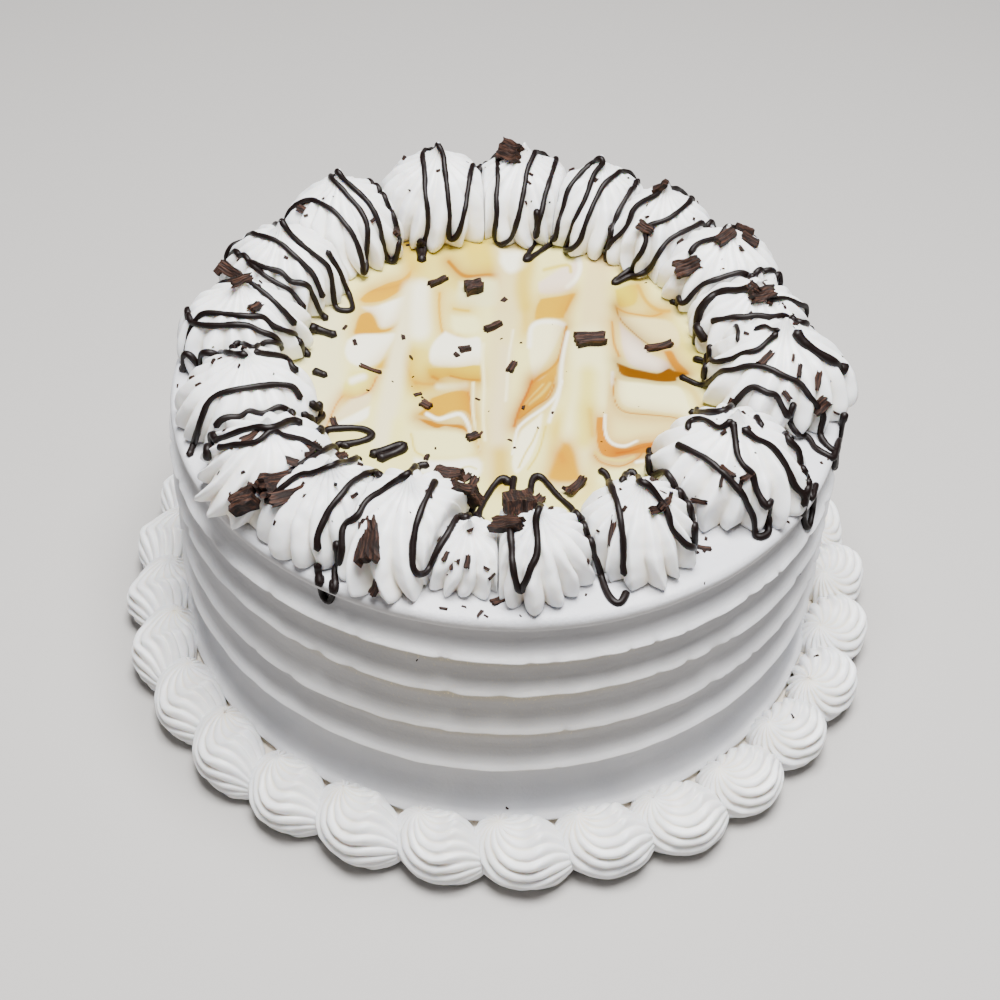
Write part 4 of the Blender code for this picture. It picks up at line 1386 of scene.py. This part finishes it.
def shaving(spot, size, heading, curl, seed):
    """One shaving at a photo point: size in mm, heading in the picture and curl in degrees."""
    length, width, thick = size
    piece = cut_cube()
    draw = np.random.default_rng(seed)
    x, y, z = points_of(piece).T
    torn = 0.05 * np.sin(17 * y + seed) + 0.04 * np.sin(41 * y + 2 * seed)
    x = x + torn * np.abs(2 * x) ** 3
    y = y * (1 - 0.3 * draw.uniform(0, 1) * (x + 0.5)) + 0.04 * np.sin(9 * x + seed)
    z = z * (1 + 0.12 * np.sin(31 * y + seed)) + 0.06 * np.sin(7 * x + 5 * y + seed)
    x, y, z = x * length, y * width, z * thick
    if curl:
        bend = math.radians(curl) / length
        arc = 1 / bend
        x, z = (arc - z) * np.sin(bend * x), arc - (arc - z) * np.cos(bend * x)
    set_points(piece, np.stack([x, y, z], axis=1) * MM)
    place, up, turn = seat(spot, heading)
    rock = Matrix.Rotation(math.radians(draw.uniform(-MOST_ROCK, MOST_ROCK)), 4, "X")
    piece.data.transform(Matrix.Translation(place + up * thick * LOOSE * MM) @ turn @ rock)
    store_value(piece, SHAVED, np.full(len(piece.data.vertices), 1.0))
    layer = piece.data.attributes.new("grain", "FLOAT_VECTOR", "POINT")
    along, across, through = GRAIN_STRETCH
    grain = np.stack([x * along + 7 * seed, y * across, z * through], axis=1)
    layer.data.foreach_set("vector", grain.astype(np.float32).ravel())
    return piece


print("a cube is cut", CUTS, "times each way")

# %% Lay the shavings
# Photo point, size in mm, heading and curl in degrees
SHAVINGS = [
    ((278, 483), (15, 7, 1.8), 8, 70), ((270, 494), (11, 5, 2.2), -50, 60),
    ((288, 497), (10, 4, 1.2), 15, 50), ((247, 502), (7.5, 6.5, 4.2), 20, 0),
    ((371, 542), (12.5, 7.2, 2.6), 86, 20), ((377, 587), (5.5, 2.6, 1.2), 70, 30),
    ((448, 477), (8, 5.5, 2.2), -8, 40), ((463, 481), (6, 2.2, 0.9), 30, 80),
    ((473, 484), (5, 2.4, 1.0), 60, 90), ((470, 497), (5.5, 4.5, 3.2), -60, 20),
    ((459, 489), (6, 4, 1.6), -20, 40), ((519, 508), (9.5, 8.5, 4.0), -60, 15),
    ((536, 505), (6, 3.0, 2.0), 45, 20), ((509, 527), (9.5, 4.6, 2.6), 2, 10),
    ((575, 489), (8.5, 3.4, 1.2), 40, 100), ((612, 532), (8.5, 2.0, 0.7), 84, 20),
    ((468, 562), (3.6, 1.6, 0.8), 80, 20), ((491, 577), (4.2, 0.9, 0.5), 45, 30),
    ((446, 557), (3, 1.4, 0.7), 60, 10), ((452, 566), (2.6, 1.0, 0.6), 85, 10),
    ((499, 601), (4.6, 2.2, 0.8), 25, 40), ((663, 506), (5.2, 2.6, 1.4), 40, 40),
    ((669, 499), (4, 1.2, 0.8), 75, 60), ((656, 510), (5, 2.4, 0.9), 15, 20),
    ((746, 477), (5, 1.8, 0.9), 30, 70), ((741, 484), (4, 1.1, 0.6), 75, 30),
    ((727, 472), (5, 1.5, 0.8), -35, 50), ((721, 481), (4, 1.1, 0.6), 80, 30),
    ((700, 502), (6, 1.6, 0.9), -10, 20), ((701, 548), (5.6, 1.4, 0.6), -12, 20),
    ((821, 406), (5.6, 4.2, 2.4), 40, 10), ((818, 381), (5.5, 2.3, 0.9), 76, 20),
    ((800, 371), (4.2, 1.4, 0.9), 82, 20), ((766, 359), (6, 2.3, 0.9), 46, 30),
    ((787, 396), (3.6, 1.7, 0.9), -50, 10), ((730, 406), (5.2, 2.6, 1.6), 60, 20),
    ((793, 358), (2.6, 0.9, 0.5), 85, 20), ((762, 295), (8, 5, 2.6), 15, 40),
    ((755, 289), (5, 3, 1.8), -40, 30), ((771, 300), (5, 2, 1.2), 60, 30),
    ((590, 342), (9.3, 5.6, 2.8), 3, 0), ((474, 291), (5.8, 5.4, 3.8), 10, 0),
    ((438, 283), (6.8, 2.4, 1.6), 24, 20), ((493, 328), (6.2, 2.6, 1.6), 24, 20),
    ((659, 348), (8.6, 2.8, 1.3), 12, 30), ((512, 368), (4.8, 2.4, 1.4), 58, 10),
    ((465, 350), (3.6, 2.6, 1.4), 10, 0), ((426, 406), (3.6, 2.8, 1.4), -30, 10),
    ((371, 370), (7.4, 1.3, 0.7), -20, 20), ((473, 438), (3.8, 2.6, 1.5), 20, 20),
    ((480, 435), (3, 0.9, 0.5), 50, 20), ((427, 458), (2.2, 1.5, 1.0), 60, 0),
    ((418, 395), (2.4, 1.2, 0.7), 15, 0), ((355, 343), (2.6, 1.2, 0.8), -70, 0),
    ((345, 328), (2.2, 1.0, 0.6), 50, 0), ((688, 268), (8.5, 6, 3.2), 20, 10),
    ((743, 221), (6, 3.4, 2), -20, 20), ((726, 238), (7, 4, 2.2), 35, 30),
    ((749, 241), (6, 3, 1.6), -30, 30), ((513, 152), (9.5, 7.5, 3.6), -20, 20),
    ((662, 188), (6, 3, 1.6), 30, 40), ((645, 229), (5.5, 3.4, 2.2), -30, 20),
    ((232, 272), (9, 4, 1.6), -35, 50), ((241, 280), (7, 3, 1.3), 20, 40),
    ((222, 268), (5, 3, 1.4), 60, 30), ((304, 211), (5, 2.6, 1.4), -30, 20),
    ((395, 233), (4.5, 2.4, 1.4), 80, 20), ((255, 308), (5, 3, 1.2), 30, 20),
    ((335, 425), (5.5, 2.0, 0.8), -65, 60), ((312, 448), (4.5, 2.6, 1.2), 40, 40),
    ((341, 457), (4, 2.2, 1.2), 10, 60), ((289, 461), (5, 2.4, 0.6), -15, 20),
    ((352, 497), (4, 1.2, 0.6), 30, 20), ((335, 484), (3.6, 1.0, 0.5), -15, 20),
    ((251, 437), (6, 2.6, 0.7), 30, 20),
]
shavings = [shaving(*row, seed) for seed, row in enumerate(SHAVINGS)]
bpy.ops.object.select_all(action="DESELECT")
for piece in shavings:
    piece.select_set(True)
bpy.context.view_layer.objects.active = shavings[0]
bpy.ops.object.join()
shavings = bpy.context.object
shavings.name = "chocolate_shavings"
finish_piece(shavings, chocolate, "chocolate")
shavings.data.shade_flat()
print("shavings:", len(SHAVINGS), "with", len(shavings.data.polygons), "faces")

# %% One crumb
CHIP_CORNERS = [(-1, -1, 0), (1, -0.6, 0), (0.7, 1, 0), (-0.8, 0.8, 0),
                (-0.9, -0.8, 1), (0.8, -0.7, 1), (0.5, 0.8, 1), (-0.6, 0.6, 1)]
CHIP_FACES = [(3, 2, 1, 0), (4, 5, 6, 7), (0, 1, 5, 4), (1, 2, 6, 5), (2, 3, 7, 6), (3, 0, 4, 7)]
LONGEST_CHIP = 1.5 * MM


def crumb_corners(place, normal, draw):
    """The corners of one flat six-sided chip that lies on the cream."""
    length = draw.uniform(0.35, 1.0) ** 2 * LONGEST_CHIP
    width, thick = length * draw.uniform(0.3, 0.8), length * draw.uniform(0.15, 0.4)
    along = Vector((draw.uniform(-1, 1), draw.uniform(-1, 1), draw.uniform(-1, 1)))
    side_way = normal.cross(along).normalized()
    along = side_way.cross(normal)
    corners = []
    for x, y, z in CHIP_CORNERS:
        spot = along * x * length + side_way * y * width + normal * (z * thick * 2 - 0.1 * thick)
        corners.append(place + spot * draw.uniform(0.8, 1.15))
    return corners


print("chip:", len(CHIP_FACES), "faces, at most", round(LONGEST_CHIP / MM, 1), "mm from its middle")

# %% Scatter the crumbs
# The photo points of the specks that show, then how many more fall, and how far out in millimetres
SEEN_SPECKS = [(417, 660), (507, 808), (800, 574), (793, 716), (816, 656), (480, 614), (705, 550),
               (486, 616), (464, 607), (691, 538), (802, 470), (806, 480), (690, 546)]
CRUMB_COUNT = 260
ON_GLAZE = (15, 72)
ON_ROSETTES = (72, 104)
SHARE_ON_GLAZE = 0.12

draw = random.Random(7)
landings = [look_through(spot)[:2] for spot in SEEN_SPECKS]
for _ in range(CRUMB_COUNT):
    distance = draw.uniform(*(ON_GLAZE if draw.random() < SHARE_ON_GLAZE else ON_ROSETTES))
    place = polar(draw.uniform(-180, 180), distance * MM)
    landings.append(drop_on(place.x, place.y))
corners, faces = [], []
for place, normal in landings:
    faces += [[len(corners) + corner for corner in face] for face in CHIP_FACES]
    corners += crumb_corners(place, normal, draw)
crumb_data = bpy.data.meshes.new("chocolate_crumbs")
crumb_data.from_pydata(corners, [], faces)
crumbs = bpy.data.objects.new("chocolate_crumbs", crumb_data)
bpy.context.scene.collection.objects.link(crumbs)
store_value(crumbs, SHAVED, np.full(len(corners), 1.0))
finish_piece(crumbs, chocolate, "chocolate")
crumbs.data.shade_flat()
print("crumbs:", len(landings))

# %% [markdown]
# ## Floor and light
#
# The photo's light is soft and comes from above, a little from the front and the right: the tops of
# the rosettes are bright and the hollows under the lips only a little darker. One square area light
# overhead does that, and a faint cool sky keeps the shadows open. Several lights would give the glaze
# several reflections. The floor is a plain pale plane, only there to catch the shadow.

# %% Floor, light and close
FLOOR_GREY = (0.42, 0.405, 0.39, 1)
LIGHT_PLACE = Vector((0.05, -0.06, 1.0))
LIGHT_AIM = Vector((0, 0, 0.05))
LIGHT_SIZE = 0.5
LIGHT_POWER = 36
SKY = (0.92, 0.94, 1.0, 1)
SKY_STRENGTH = 0.13

bpy.ops.object.select_all(action="DESELECT")
bpy.ops.mesh.primitive_plane_add(size=6)
floor = bpy.context.object
floor.name = "floor"
floor_finish, tree, shader = new_finish("floor_finish", roughness=0.8)
shader.inputs["Base Color"].default_value = FLOOR_GREY
floor.data.materials.append(floor_finish)

light_data = bpy.data.lights.new("overhead", "AREA")
light_data.size = LIGHT_SIZE
light_data.energy = LIGHT_POWER
light = bpy.data.objects.new("overhead", light_data)
bpy.context.scene.collection.objects.link(light)
light.location = LIGHT_PLACE
light.rotation_euler = (LIGHT_AIM - LIGHT_PLACE).to_track_quat("-Z", "Y").to_euler()

world = bpy.data.worlds.new("studio")
world.use_nodes = True
world.node_tree.nodes["Background"].inputs["Color"].default_value = SKY
world.node_tree.nodes["Background"].inputs["Strength"].default_value = SKY_STRENGTH
bpy.context.scene.world = world
print("light:", light.name, round((LIGHT_AIM - LIGHT_PLACE).length, 2), "m away")
